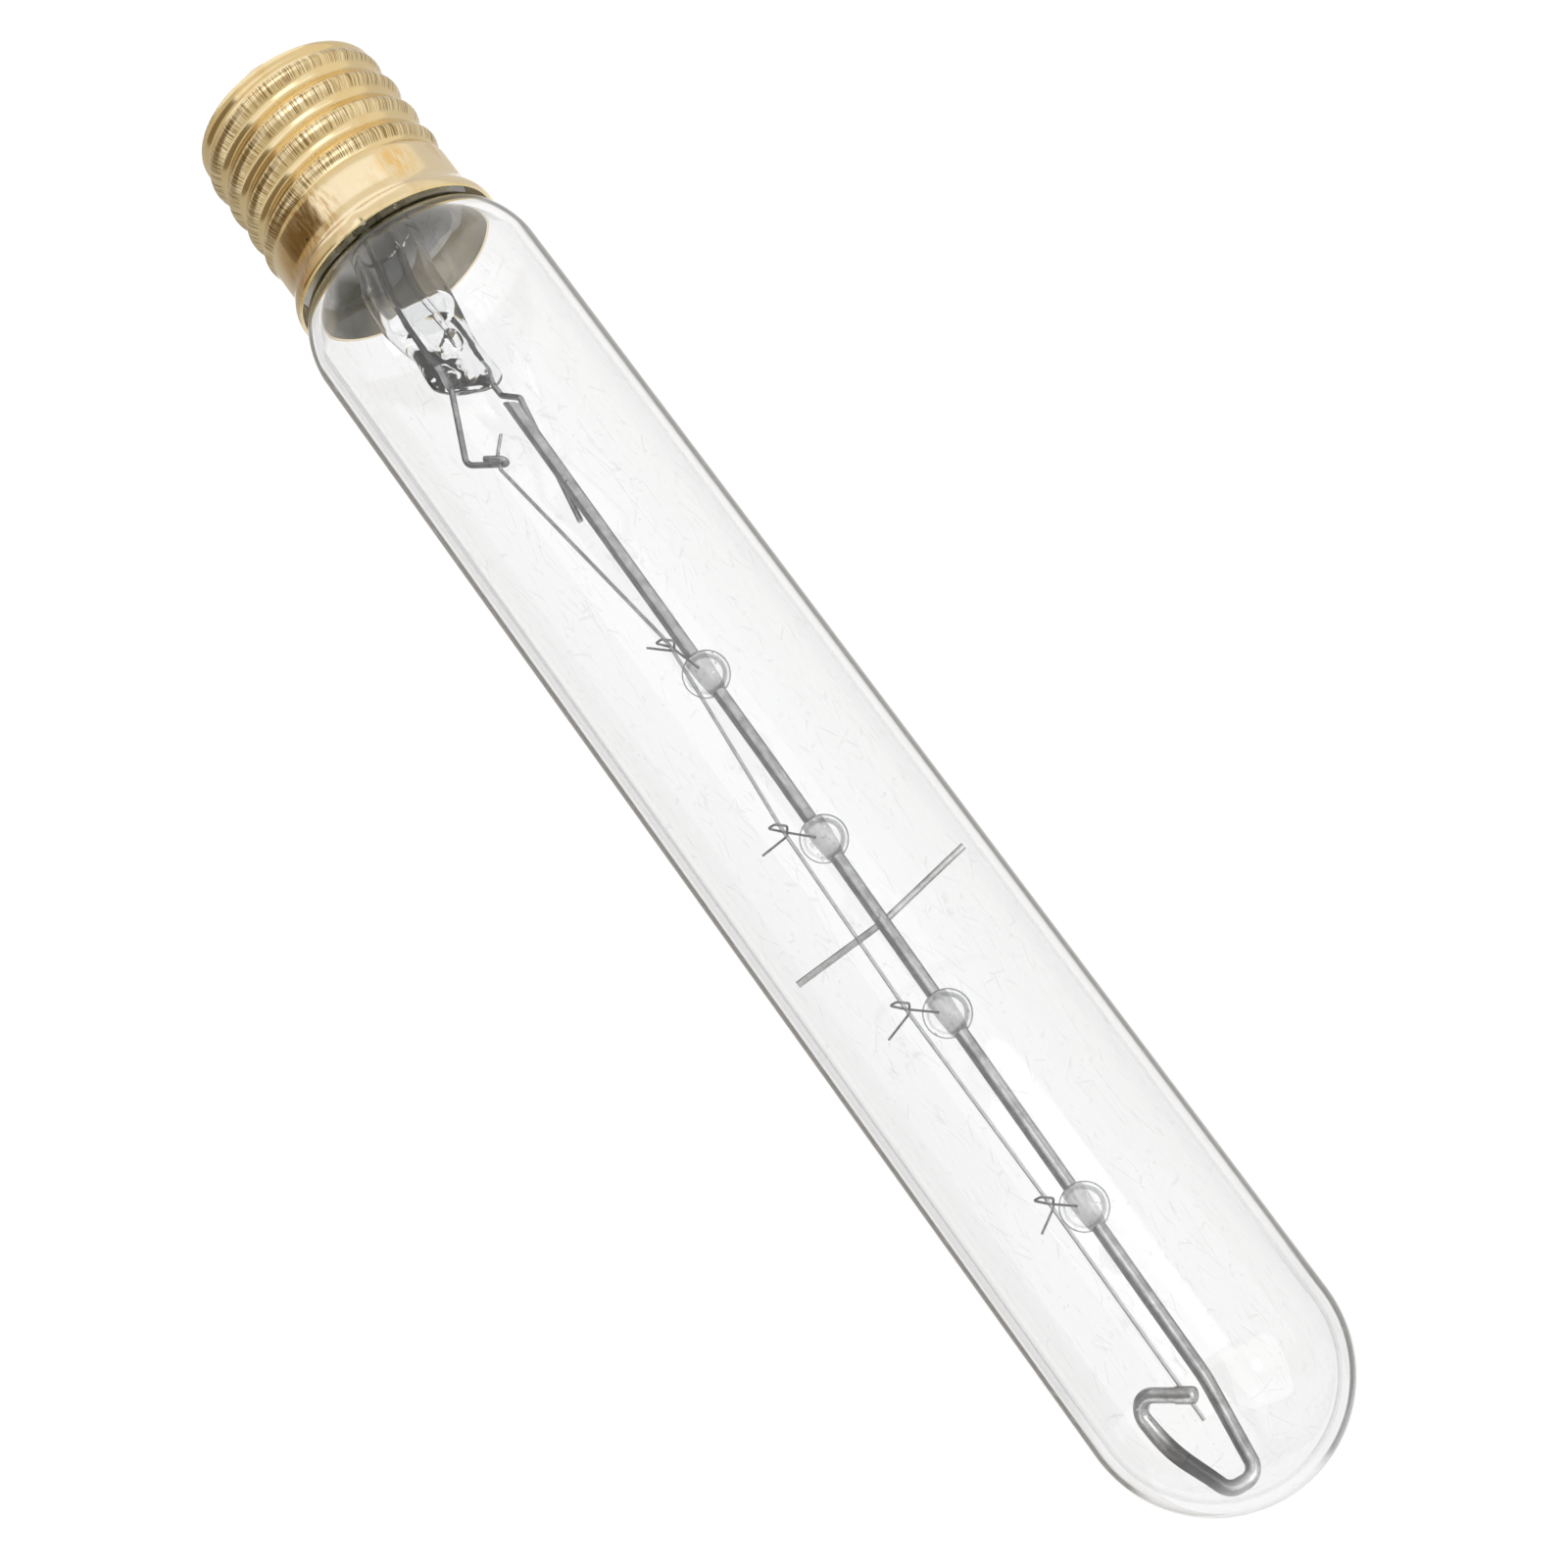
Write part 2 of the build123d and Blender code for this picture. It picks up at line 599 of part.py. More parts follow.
# Beads on the rod, each with the hook that is rooted in it and makes an eye round the filament
eye_corners = ((0, 0.75, 0.35), (1.4, -0.35, -1.0), (0.45, -1.0, -0.7), (-0.8, 0, 0.15), (0, 0.9, 1.0))
for number, (bead, eye, tail) in enumerate(zip(beads, eyes, hook_tails), start=1):
    corners = [eye + Vector(corner) * hook_eye for corner in eye_corners]
    hook_line = (corners[0] - bead).normalized()
    hook_start = bead + hook_line * (rod_radius + hook_root)
    hook_route = (hook_start, *corners, eye + Vector(tail))
    filament_hook = bent_wire(hook_route, hook_bends, hook_diameter)
    save(filament_hook, f"filament_hook_{number}")

    with BuildPart() as glass_bead:
        with Locations(bead):
            Sphere(bead_diameter / 2)
        with BuildSketch(Plane(origin=bead, z_dir=(rod_top - rod_knee).normalized())):
            Circle(rod_radius + clearance)
        extrude(amount=bead_diameter, both=True, mode=Mode.SUBTRACT)
        with BuildSketch(Plane(origin=hook_start, z_dir=hook_line)):
            Circle(hook_diameter / 2 + clearance)
        extrude(amount=bead_diameter, mode=Mode.SUBTRACT)
    save(glass_bead, f"glass_bead_{number}")

# Cross wire behind the rod that keeps it in the middle of the tube
spacer_centre = rod_point(spacer_station) + Vector(0, rod_radius + spacer_diameter / 2 + clearance, 0)
spacer_route = (
    Vector(glass_inner - spacer_gap_left, spacer_centre.Y, spacer_centre.Z),
    spacer_centre,
    Vector(spacer_gap_right - glass_inner, spacer_centre.Y, spacer_centre.Z - spacer_sag),
)
spacer_wire = bent_wire(spacer_route, spacer_bend, spacer_diameter)
save(spacer_wire, "spacer_wire")
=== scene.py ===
from math import acos, atan, atan2, cos, exp, hypot, pi, radians, sin, sqrt, tau
from random import Random

import bmesh
import bpy
from mathutils import Euler, Matrix, Vector


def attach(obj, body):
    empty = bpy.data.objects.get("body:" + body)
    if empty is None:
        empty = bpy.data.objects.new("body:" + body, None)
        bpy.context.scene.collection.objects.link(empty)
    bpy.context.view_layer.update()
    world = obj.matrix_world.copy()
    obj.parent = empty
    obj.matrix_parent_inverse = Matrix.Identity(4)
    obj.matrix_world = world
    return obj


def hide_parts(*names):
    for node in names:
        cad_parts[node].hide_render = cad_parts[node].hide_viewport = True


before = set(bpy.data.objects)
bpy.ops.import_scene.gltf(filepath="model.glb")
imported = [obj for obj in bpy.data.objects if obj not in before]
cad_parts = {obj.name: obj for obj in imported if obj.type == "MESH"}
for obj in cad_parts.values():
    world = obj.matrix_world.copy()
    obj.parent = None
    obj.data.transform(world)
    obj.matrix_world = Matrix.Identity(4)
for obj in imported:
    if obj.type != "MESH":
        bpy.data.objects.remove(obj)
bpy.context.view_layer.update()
scene = bpy.context.scene
scene.view_settings.view_transform = "Standard"

MM = 0.001

# Sizes of the solids that the scene draws finer, in millimetres
cap_length = 21.4
shell_sheet = 0.3
crest_radius = 8.3
thread_depth = 0.65
thread_pitch = 2.822
thread_runout = 1.4
thread_crest_height = 6.85
shell_end = 3.8
shell_bend = 1.2
shell_mouth = 6.3
skirt_radius = 8.15
thread_end = 16.3
lip_flare = 0.85
lip_height = 2.7
lip_round = 0.04  # rise of the rim's rounded edge

overall_length = 139.7
glass_radius = 10.0
glass_wall = 0.95
neck_radius = 6.8
neck_end = 10.4
neck_curve = 6.0
shoulder_curve = 7.6
shoulder_top = 26.4

stem_radius = 3.15
stem_bore = 2.35
stem_offset = 1.0
flare_top = 18.4
flare_rim = 0.9
stem_straight = 24.5
press_start = 26.0
press_end = 34.1
press_angle = -52.0
press_edge = 0.9
press_crown = 0.15
# Share of the press's length, half width and half depth
press_sections = (
    (0.0, 3.15, 3.15),
    (0.25, 3.1, 2.64),
    (0.5, 3.05, 1.96),
    (0.75, 3.64, 1.5),
    (0.9, 3.7, 1.4),
    (1.0, 3.2, 1.2),
)
exhaust_radius = 1.35
exhaust_bore = 0.9
exhaust_tip = 7.4
exhaust_taper = 1.3
exhaust_seat = 27.8
exhaust_fillet = 0.4
exhaust_hole_height = 30.4
exhaust_hole_radius = 0.85
exhaust_hole_angle = -125.0

bead_radius = 1.85
bead_centres = ((-0.458, 0, 64.833), (-0.263, 0, 80.912), (0.01, 0, 97.317), (0.302, 0, 114.82))
filament_radius = 0.16
filament_wire = 0.035
filament_pitch = 0.13
coil_steps = 10  # points in each turn of the filament's coil
filament_route = (
    (1.277, -3.075, 40.164),
    (2.377, -3.075, 41.364),
    (2.891, -3.519, 42.791),
    (0.442, -4.5, 62.933),
    (1.767, -4.5, 79.962),
    (2.19, -4.5, 96.317),
    (2.102, -4.5, 114.05),
    (2.282, -4.834, 132.946),
)
filament_bends = (0.3, 0.3, 8.0, 8.0, 8.0, 8.0)

# Small marks: place and radius
brass_pits = (((-2.47, -7.77, 14.37), 0.17), ((-0.31, -8.09, 7.66), 0.09), ((4.53, -6.78, 18.6), 0.12))
rod_welds = (((-0.45, -0.45, 45.1), 0.42), ((-0.05, -0.5, 88.3), 0.3))
# burnt spot on the rod, its wide radius also painted shade over the crook
rod_scorch_and_shade = ((4.4, -1.6, 134.3), 4.2)
cement_olive_patch = ((5.8, 5.0, 18.8), 4.4)
# Stained patches of the skirt, the last two painted shade on its +x front: place, radius, the share of the
# strokes that take it, and its colour
brass_stains_and_shade = (
    ((-4.6, -6.7, 17.6), 2.2, ((0.42, 0.0), (0.56, 0.9)), (0.9, 0.6, 0.24)),
    # painted shade: these two dark brown patches stand in for the darker reflection on that side
    ((3.4, -7.4, 17.6), 3.6, ((0.4, 0.9), (0.62, 0.0)), (0.5, 0.29, 0.1)),
    ((6.4, -5.4, 19.4), 4.4, ((0.35, 0.95), (0.7, 0.7)), (0.5, 0.31, 0.12)),
)
# Knots where two lead wires are joined: place and radius
lead_knots = {
    "seal_wire_filament": (((2.047, -1.34, 25.45), 0.25), ((2.318, -1.687, 31.8), 0.3)),
    "seal_wire_rod": (((-0.047, 1.34, 25.45), 0.25), ((-0.318, 1.687, 31.8), 0.3)),
    "filament_lead": (((2.864, -1.856, 35.21), 0.275),),
}
# Long leg of the rod's crook: its ends, how far its middle bows out, and the share that it swells
crook_leg = ((3.8, -0.8, 137.3), (5.85, -3.5, 127.95))
crook_bow = (0.5, 0.0, 0.14)
crook_swell = 0.12
crook_reach = 0.7  # from the leg's line, more than the wire's radius
# Dent in the rim of the cap: it goes in, and falls by a share of that
lip_dent_angle = -86.0
lip_dent_depth = 0.28
lip_dent_width = 0.5
lip_dent_height = 1.6
lip_dent_fall = 0.5
# Band that the rolling tool marked on the thread, in turns from the crest, and the turns it fades in
crest_band_edges = (-0.14, 0.34)
crest_band_fade = 0.08
crest_end_fade = 0.8  # millimetres in which it fades at the ends of the thread
# Heights between which the look of the glass's edges changes
tube_edge_end = (131.0, 125.0)
dome_edge_start = (122.0, 130.0)
dome_rim = (131.7, 133.4)  # along its own slanted direction
dome_rim_direction = (0.44, 0, 0.96)
shoulder_in_cap = (24.5, 22.0)
neck_in_cap = (22.8, 22.0)


# Shapes
def smooth_step(t):
    t = min(max(t, 0.0), 1.0)
    return t * t * (3 - 2 * t)


def spread(start, end, count):
    """count + 1 even steps from start to end."""
    return [start + (end - start) * i / count for i in range(count + 1)]


def arc(centre, radius, start, end, count):
    """Points of an arc in a profile, by angles in radians."""
    return [(centre[0] + radius * cos(a), centre[1] + radius * sin(a)) for a in spread(start, end, count)]


def smooth_faces(mesh, sharp=35.0):
    """Smooth shading, apart from edges sharper than an angle in degrees."""
    mesh.shade_smooth()
    mesh.set_sharp_from_angle(angle=radians(sharp))


def new_piece(name, mesh, **shading):
    smooth_faces(mesh, **shading)
    piece = bpy.data.objects.new(name, mesh)
    scene.collection.objects.link(piece)
    return piece


def ring(radius, height, centre=(0.0, 0.0), depth=None, turn=0.0):
    """Level ellipse of a ring surface, in millimetres. One with no radius is a point."""
    return (radius, radius if depth is None else depth, height, centre, turn)


def ring_mesh(name, rings, segments, closed=False):
    """Surface through level rings, closed from the last to the first where asked."""
    points, faces, starts = [], [], []
    for half_width, half_depth, height, (cx, cy), turn in rings:
        starts.append(len(points))
        count = segments if half_width > 0 else 1
        for i in range(count):
            angle = tau * i / segments
            x, y = half_width * cos(angle), half_depth * sin(angle)
            points.append(
                (
                    (cx + x * cos(turn) - y * sin(turn)) * MM,
                    (cy + x * sin(turn) + y * cos(turn)) * MM,
                    height * MM,
                )
            )
    pairs = list(zip(range(len(rings)), range(1, len(rings))))
    if closed:
        pairs.append((len(rings) - 1, 0))
    for a, b in pairs:
        a_ring, b_ring = rings[a][0] > 0, rings[b][0] > 0
        for i in range(segments):
            j = (i + 1) % segments
            if a_ring and b_ring:
                faces.append((starts[a] + i, starts[a] + j, starts[b] + j, starts[b] + i))
            elif a_ring:
                faces.append((starts[a] + i, starts[a] + j, starts[b]))
            elif b_ring:
                faces.append((starts[a], starts[b] + j, starts[b] + i))
    mesh = bpy.data.meshes.new(name)
    mesh.from_pydata(points, [], faces)
    mesh.validate()
    return mesh


def rounded_route(points, bends, step):
    """Points along straight runs joined by round bends, in millimetres."""
    corners = [Vector(p) for p in points]
    route = [corners[0]]
    for before, corner, after, radius in zip(corners, corners[1:], corners[2:], bends):
        back, on = (before - corner).normalized(), (after - corner).normalized()
        turn = pi - back.angle(on)
        inset = radius * sin(turn / 2) / cos(turn / 2)
        centre = corner + (back + on).normalized() * (radius / cos(turn / 2))
        start, end = corner + back * inset - centre, corner + on * inset - centre
        axis = start.cross(end).normalized()
        count = max(2, round(radius * turn / step))
        route += [centre + Matrix.Rotation(turn * i / count, 3, axis) @ start for i in range(count + 1)]
    route.append(corners[-1])
    return route


def even_points(route, step):
    """The same route in even steps."""
    out, carry = [route[0]], 0.0
    for a, b in zip(route, route[1:]):
        length = (b - a).length
        at = step - carry
        while at <= length:
            out.append(a.lerp(b, at / length))
            at += step
        carry = length - (at - step)
    return out


def carried_frames(route):
    """Two directions across a route at each point, carried along it without twist."""
    across = (route[1] - route[0]).orthogonal().normalized()
    frames = []
    for i, point in enumerate(route):
        along = (route[min(i + 1, len(route) - 1)] - route[max(i - 1, 0)]).normalized()
        across = (across - along * across.dot(along)).normalized()
        frames.append((point, across, along.cross(across)))
    return frames


def tube_mesh(name, route, radius, sides):
    """Round tube along a route, with closed ends."""
    points, faces = [], []
    frames = carried_frames(route)
    for point, across, over in frames:
        for k in range(sides):
            angle = tau * k / sides
            points.append((point + across * (radius * cos(angle)) + over * (radius * sin(angle))) * MM)
    for i in range(len(frames) - 1):
        for k in range(sides):
            j = (k + 1) % sides
            faces.append((i * sides + k, i * sides + j, (i + 1) * sides + j, (i + 1) * sides + k))
    faces.append(tuple(reversed(range(sides))))
    faces.append(tuple(range((len(frames) - 1) * sides, len(frames) * sides)))
    mesh = bpy.data.meshes.new(name)
    mesh.from_pydata(points, [], faces)
    return mesh


def bow_crook(bm):
    """Bends the crook's long leg out in a shallow bow, a little swollen in its middle."""
    start, end = (Vector(corner) * MM for corner in crook_leg)
    run = end - start
    for share in spread(0, 1, 16):
        geometry = bm.verts[:] + bm.edges[:] + bm.faces[:]
        bmesh.ops.bisect_plane(bm, geom=geometry, plane_co=start.lerp(end, share), plane_no=run)
    for vertex in bm.verts:
        share = (vertex.co - start).dot(run) / run.length_squared
        aside = vertex.co - start.lerp(end, share)
        if 0 < share < 1 and aside.length < crook_reach * MM:
            vertex.co += (Vector(crook_bow) * MM + aside * crook_swell) * sin(pi * share) ** 2


def solid_copy(node):
    """A node's own shape as a new mesh, with the knots of its joints and the bow of the crook."""
    bm = bmesh.new()
    bm.from_mesh(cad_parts[node].data)
    bmesh.ops.remove_doubles(bm, verts=bm.verts, dist=0.001 * MM)
    for place, radius in lead_knots.get(node, ()):
        knot = Matrix.Translation(Vector(place) * MM) @ Matrix.Diagonal((1, 1, 0.6, 1))
        bmesh.ops.create_uvsphere(bm, u_segments=24, v_segments=12, radius=radius * MM, matrix=knot)
    if node == "support_rod":
        bow_crook(bm)
    bm.verts.index_update()
    points = [tuple(vertex.co) for vertex in bm.verts]
    faces = [[vertex.index for vertex in face.verts] for face in bm.faces]
    bm.free()
    mesh = bpy.data.meshes.new(node + "_shape")
    mesh.from_pydata(points, [], faces)
    return mesh


def fitted(piece, slot, material, *nodes):
    """Gives a piece its material and puts it in the place of its nodes."""
    piece.data.materials.append(material)
    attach(piece, "root")
    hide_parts(*nodes)
    return piece


# Materials
def new_material(name, **sockets):
    """Principled material with plain values on its own sockets."""
    material = bpy.data.materials.new(name)
    material.use_nodes = True
    shader = material.node_tree.nodes["Principled BSDF"]
    for socket, value in sockets.items():
        shader.inputs[socket.replace("_", " ")].default_value = value
    return material, material.node_tree, shader


def add(tree, kind, values=None, **settings):
    """New node with the given settings and plain input values."""
    node = tree.nodes.new(kind)
    for name, value in settings.items():
        setattr(node, name, value)
    for socket, value in (values or {}).items():
        node.inputs[socket].default_value = value
    return node


def math(tree, operation, a, b=None, c=None):
    """Result of a math node, whose inputs are sockets or plain numbers."""
    node = add(tree, "ShaderNodeMath", operation=operation)
    for socket, value in zip(node.inputs, (a, b, c)):
        if isinstance(value, bpy.types.NodeSocket):
            tree.links.new(value, socket)
        elif value is not None:
            socket.default_value = value
    return node.outputs[0]


def ramp(tree, factor, stops):
    """Colour ramp through (position, grey or colour) stops."""
    node = add(tree, "ShaderNodeValToRGB")
    elements = node.color_ramp.elements
    while len(elements) < len(stops):
        elements.new(0.5)
    for element, (position, colour) in zip(elements, stops):
        element.position = position
        element.color = (*colour, 1) if isinstance(colour, tuple) else (colour, colour, colour, 1)
    tree.links.new(factor, node.inputs[0])
    return node.outputs[0]


def mix(tree, factor, a, b):
    """Colour mixed from a to b."""
    node = add(tree, "ShaderNodeMix", data_type="RGBA")
    for socket, value in zip((node.inputs[0], node.inputs[6], node.inputs[7]), (factor, a, b)):
        if isinstance(value, bpy.types.NodeSocket):
            tree.links.new(value, socket)
        else:
            socket.default_value = (*value, 1) if isinstance(value, tuple) else value
    return node.outputs[2]


def noise(tree, scale, stretch=(1, 1, 1), detail=2.0, turn=(0, 0, 0), shift=(0, 0, 0)):
    """Noise over the object's own coordinates."""
    coordinates = add(tree, "ShaderNodeTexCoord")
    mapping = add(tree, "ShaderNodeMapping", {"Scale": stretch, "Rotation": turn, "Location": shift})
    texture = add(tree, "ShaderNodeTexNoise", {"Scale": scale, "Detail": detail})
    tree.links.new(coordinates.outputs["Object"], mapping.inputs["Vector"])
    tree.links.new(mapping.outputs[0], texture.inputs["Vector"])
    return texture.outputs[0]


def span(tree, value, low, high):
    """0 below low, 1 above high, eased between."""
    node = add(tree, "ShaderNodeMapRange", {1: low, 2: high}, interpolation_type="SMOOTHSTEP")
    tree.links.new(value, node.inputs[0])
    return node.outputs[0]


def near(tree, place, radius, core=0.6):
    """1 at a place in millimetres, easing to 0 at the radius from a share of it."""
    coordinates = add(tree, "ShaderNodeTexCoord")
    gap = add(tree, "ShaderNodeVectorMath", {1: Vector(place) * MM}, operation="DISTANCE")
    tree.links.new(coordinates.outputs["Object"], gap.inputs[0])
    return span(tree, gap.outputs["Value"], radius * MM, radius * MM * core)


def along_axis(tree, direction, low, high):
    """0 to 1 between two distances in millimetres along a direction."""
    coordinates = add(tree, "ShaderNodeTexCoord")
    reach = add(tree, "ShaderNodeVectorMath", {1: direction}, operation="DOT_PRODUCT")
    tree.links.new(coordinates.outputs["Object"], reach.inputs[0])
    return span(tree, reach.outputs["Value"], low * MM, high * MM)


def round_strokes(tree, scale, radius, stretch):
    """Noise drawn out along Z, whose lines hold where the radius changes."""
    place = add(tree, "ShaderNodeTexCoord").outputs["Object"]
    level = add(tree, "ShaderNodeVectorMath", {1: (1, 1, 0)}, operation="MULTIPLY")
    outward = add(tree, "ShaderNodeVectorMath", operation="NORMALIZE")
    circle = add(tree, "ShaderNodeVectorMath", {"Scale": radius * MM}, operation="SCALE")
    drawn = add(tree, "ShaderNodeVectorMath", {1: (0, 0, stretch)}, operation="MULTIPLY_ADD")
    texture = add(tree, "ShaderNodeTexNoise", {"Scale": scale, "Detail": 3})
    tree.links.new(place, level.inputs[0])
    tree.links.new(level.outputs[0], outward.inputs[0])
    tree.links.new(outward.outputs[0], circle.inputs[0])
    tree.links.new(place, drawn.inputs[0])
    tree.links.new(circle.outputs[0], drawn.inputs[2])
    tree.links.new(drawn.outputs[0], texture.inputs["Vector"])
    return texture.outputs[0]


def bump(tree, shader, height, distance, strength=1.0):
    node = add(tree, "ShaderNodeBump", {"Strength": strength, "Distance": distance})
    tree.links.new(height, node.inputs["Height"])
    tree.links.new(node.outputs[0], shader.inputs["Normal"])


def scratches(tree, density, turn):
    """Sparse thin lines: cells stretched one way, of which only some edges are kept."""
    coordinates = add(tree, "ShaderNodeTexCoord")
    mapping = add(tree, "ShaderNodeMapping", {"Scale": (1, 1, 0.2), "Rotation": turn})
    cells = add(tree, "ShaderNodeTexVoronoi", {"Scale": density}, feature="DISTANCE_TO_EDGE")
    tree.links.new(coordinates.outputs["Object"], mapping.inputs["Vector"])
    tree.links.new(mapping.outputs[0], cells.inputs["Vector"])
    lines = ramp(tree, cells.outputs["Distance"], ((0.0, 1.0), (14e-6 * density + 0.008, 0.0)))
    kept = ramp(tree, noise(tree, density, turn=turn, shift=turn), ((0.53, 0.0), (0.6, 1.0)))
    return math(tree, "MULTIPLY", lines, kept)


def specks(tree, density):
    """Small round dots, of which only some are kept."""
    coordinates = add(tree, "ShaderNodeTexCoord")
    cells = add(tree, "ShaderNodeTexVoronoi", {"Scale": density})
    tree.links.new(coordinates.outputs["Object"], cells.inputs["Vector"])
    dots = ramp(tree, cells.outputs["Distance"], ((0.07, 1.0), (0.11, 0.0)))
    kept = ramp(tree, noise(tree, density / 3), ((0.5, 0.0), (0.55, 1.0)))
    return math(tree, "MULTIPLY", dots, kept)


def make_brass():
    """Rolled brass: strokes with painted glints across the thread's crests, a paler skirt as a painted
    highlight, stains, painted shade on the skirt and a few pits.
    """
    material, tree, shader = new_material("rolled_brass", Metallic=1.0)
    crest = add(tree, "ShaderNodeAttribute", attribute_name="crest").outputs["Fac"]
    strokes = round_strokes(tree, 10500, skirt_radius, 0.03)
    brushed = round_strokes(tree, 3000, skirt_radius, 0.25)
    tone = noise(tree, 260, detail=4)
    dark_patch = noise(tree, 420, stretch=(1, 1, 0.5), detail=5, shift=(0.3, 0.1, 0))
    colour = mix(tree, ramp(tree, tone, ((0.35, 0.0), (0.65, 1.0))), (0.87, 0.71, 0.43), (0.83, 0.66, 0.37))
    # painted highlight: the skirt's colour is made paler all round
    skirt = along_axis(tree, (0, 0, 1), thread_end - 0.6, thread_end)
    colour = mix(tree, math(tree, "MULTIPLY", skirt, 0.7), colour, (0.92, 0.79, 0.57))
    colour = mix(tree, ramp(tree, dark_patch, ((0.58, 0.0), (0.75, 0.6))), colour, (0.74, 0.47, 0.2))
    # stains, and painted shade on the skirt's +x front
    for place, radius, stops, shade in brass_stains_and_shade:
        patch = math(tree, "MULTIPLY", near(tree, place, radius, 0.3), ramp(tree, brushed, stops))
        colour = mix(tree, patch, colour, shade)
    dark = math(tree, "MULTIPLY", ramp(tree, strokes, ((0.4, 1.0), (0.52, 0.0))), crest)
    colour = mix(tree, math(tree, "MULTIPLY", dark, 0.8), colour, (0.2, 0.12, 0.04))
    # painted glints: pale strokes on the crests stand in for the glints of their facets
    painted_glints = math(tree, "MULTIPLY", ramp(tree, strokes, ((0.54, 0.0), (0.64, 1.0))), crest)
    colour = mix(tree, math(tree, "MULTIPLY", painted_glints, 0.8), colour, (0.98, 0.9, 0.7))
    for place, radius in brass_pits:
        colour = mix(tree, near(tree, place, radius), colour, (0.03, 0.025, 0.02))
    tree.links.new(colour, shader.inputs["Base Color"])
    tree.links.new(math(tree, "MULTIPLY_ADD", strokes, 0.16, 0.1), shader.inputs["Roughness"])
    bump(tree, shader, math(tree, "MULTIPLY", strokes, crest), 0.022 * MM)
    return material


def make_metal(name, colour, dark, roughness, streak=0.08, welds=(), scorch_and_shade=None, seals=()):
    """Drawn wire: streaks along its run, a mottled tone and pits of spot welds.

    The scorch darkens a place burnt dark, and its wide reach over the crook is painted shade; seals are
    places where glass holds it, dull and pale.
    """
    material, tree, shader = new_material(name, Metallic=1.0)
    streaks = noise(tree, 6000, stretch=(1, 1, streak), detail=3)
    blotches = noise(tree, 900, detail=4)
    tone = mix(tree, ramp(tree, blotches, ((0.4, 0.0), (0.7, 1.0))), colour, dark)
    tone = mix(tree, ramp(tree, streaks, ((0.35, 0.35), (0.6, 0.0))), tone, dark)
    surface = streaks
    for place, radius in welds:
        pit = near(tree, place, radius)
        tone = mix(tree, ramp(tree, pit, ((0.0, 0.0), (0.3, 0.8), (0.8, 0.2))), tone, dark)
        surface = math(tree, "SUBTRACT", surface, math(tree, "MULTIPLY", pit, 6.0))
    # burnt dark, and painted shade over the crook where it faces the bright floor
    if scorch_and_shade:
        tone = mix(tree, near(tree, *scorch_and_shade, 0.4), tone, (0.045, 0.045, 0.045))
    if seals:
        inside = near(tree, seals[0], bead_radius, 0.97)
        for place in seals[1:]:
            inside = math(tree, "MAXIMUM", inside, near(tree, place, bead_radius, 0.97))
        flecks = ramp(tree, noise(tree, 3500, detail=3), ((0.36, 0.25), (0.45, 1.0)))
        tone = mix(tree, math(tree, "MULTIPLY", inside, flecks), tone, (0.62, 0.62, 0.62))
        tree.links.new(math(tree, "MULTIPLY_ADD", inside, -0.8, 1.0), shader.inputs["Metallic"])
    tree.links.new(tone, shader.inputs["Base Color"])
    tree.links.new(math(tree, "MULTIPLY_ADD", blotches, 0.2, roughness), shader.inputs["Roughness"])
    bump(tree, shader, surface, 0.01 * MM)
    return material


def by_height(tree, heights):
    """0 to 1 from the first height to the second."""
    return along_axis(tree, (0, 0, 1), *heights)


def left_side(tree):
    return along_axis(tree, (1, 0, 0), -1, 1)


def left_tube(tree):
    """Left half of the tube, below the dome, where the edge has bands of painted shade."""
    return math(tree, "MULTIPLY", left_side(tree), by_height(tree, tube_edge_end))


def right_dome(tree):
    """Right half of the dome and of the tube's end, where the edge has a band of painted shade."""
    right_side = along_axis(tree, (-1, 0, 0), -1, 1)
    return math(tree, "MULTIPLY", right_side, by_height(tree, dome_edge_start))


def bare_rim(tree):
    """Part of the dome, and the shoulder in the cap, where the painted edge shade is lighter."""
    dome = along_axis(tree, dome_rim_direction, *dome_rim)
    return math(tree, "MAXIMUM", dome, by_height(tree, shoulder_in_cap))


def front_neck(tree):
    """Front of the glass in the cap, painted the brass's yellow as a painted reflection."""
    front = along_axis(tree, (0, -1, 0), 1, 4)
    return math(tree, "MULTIPLY", by_height(tree, neck_in_cap), front)


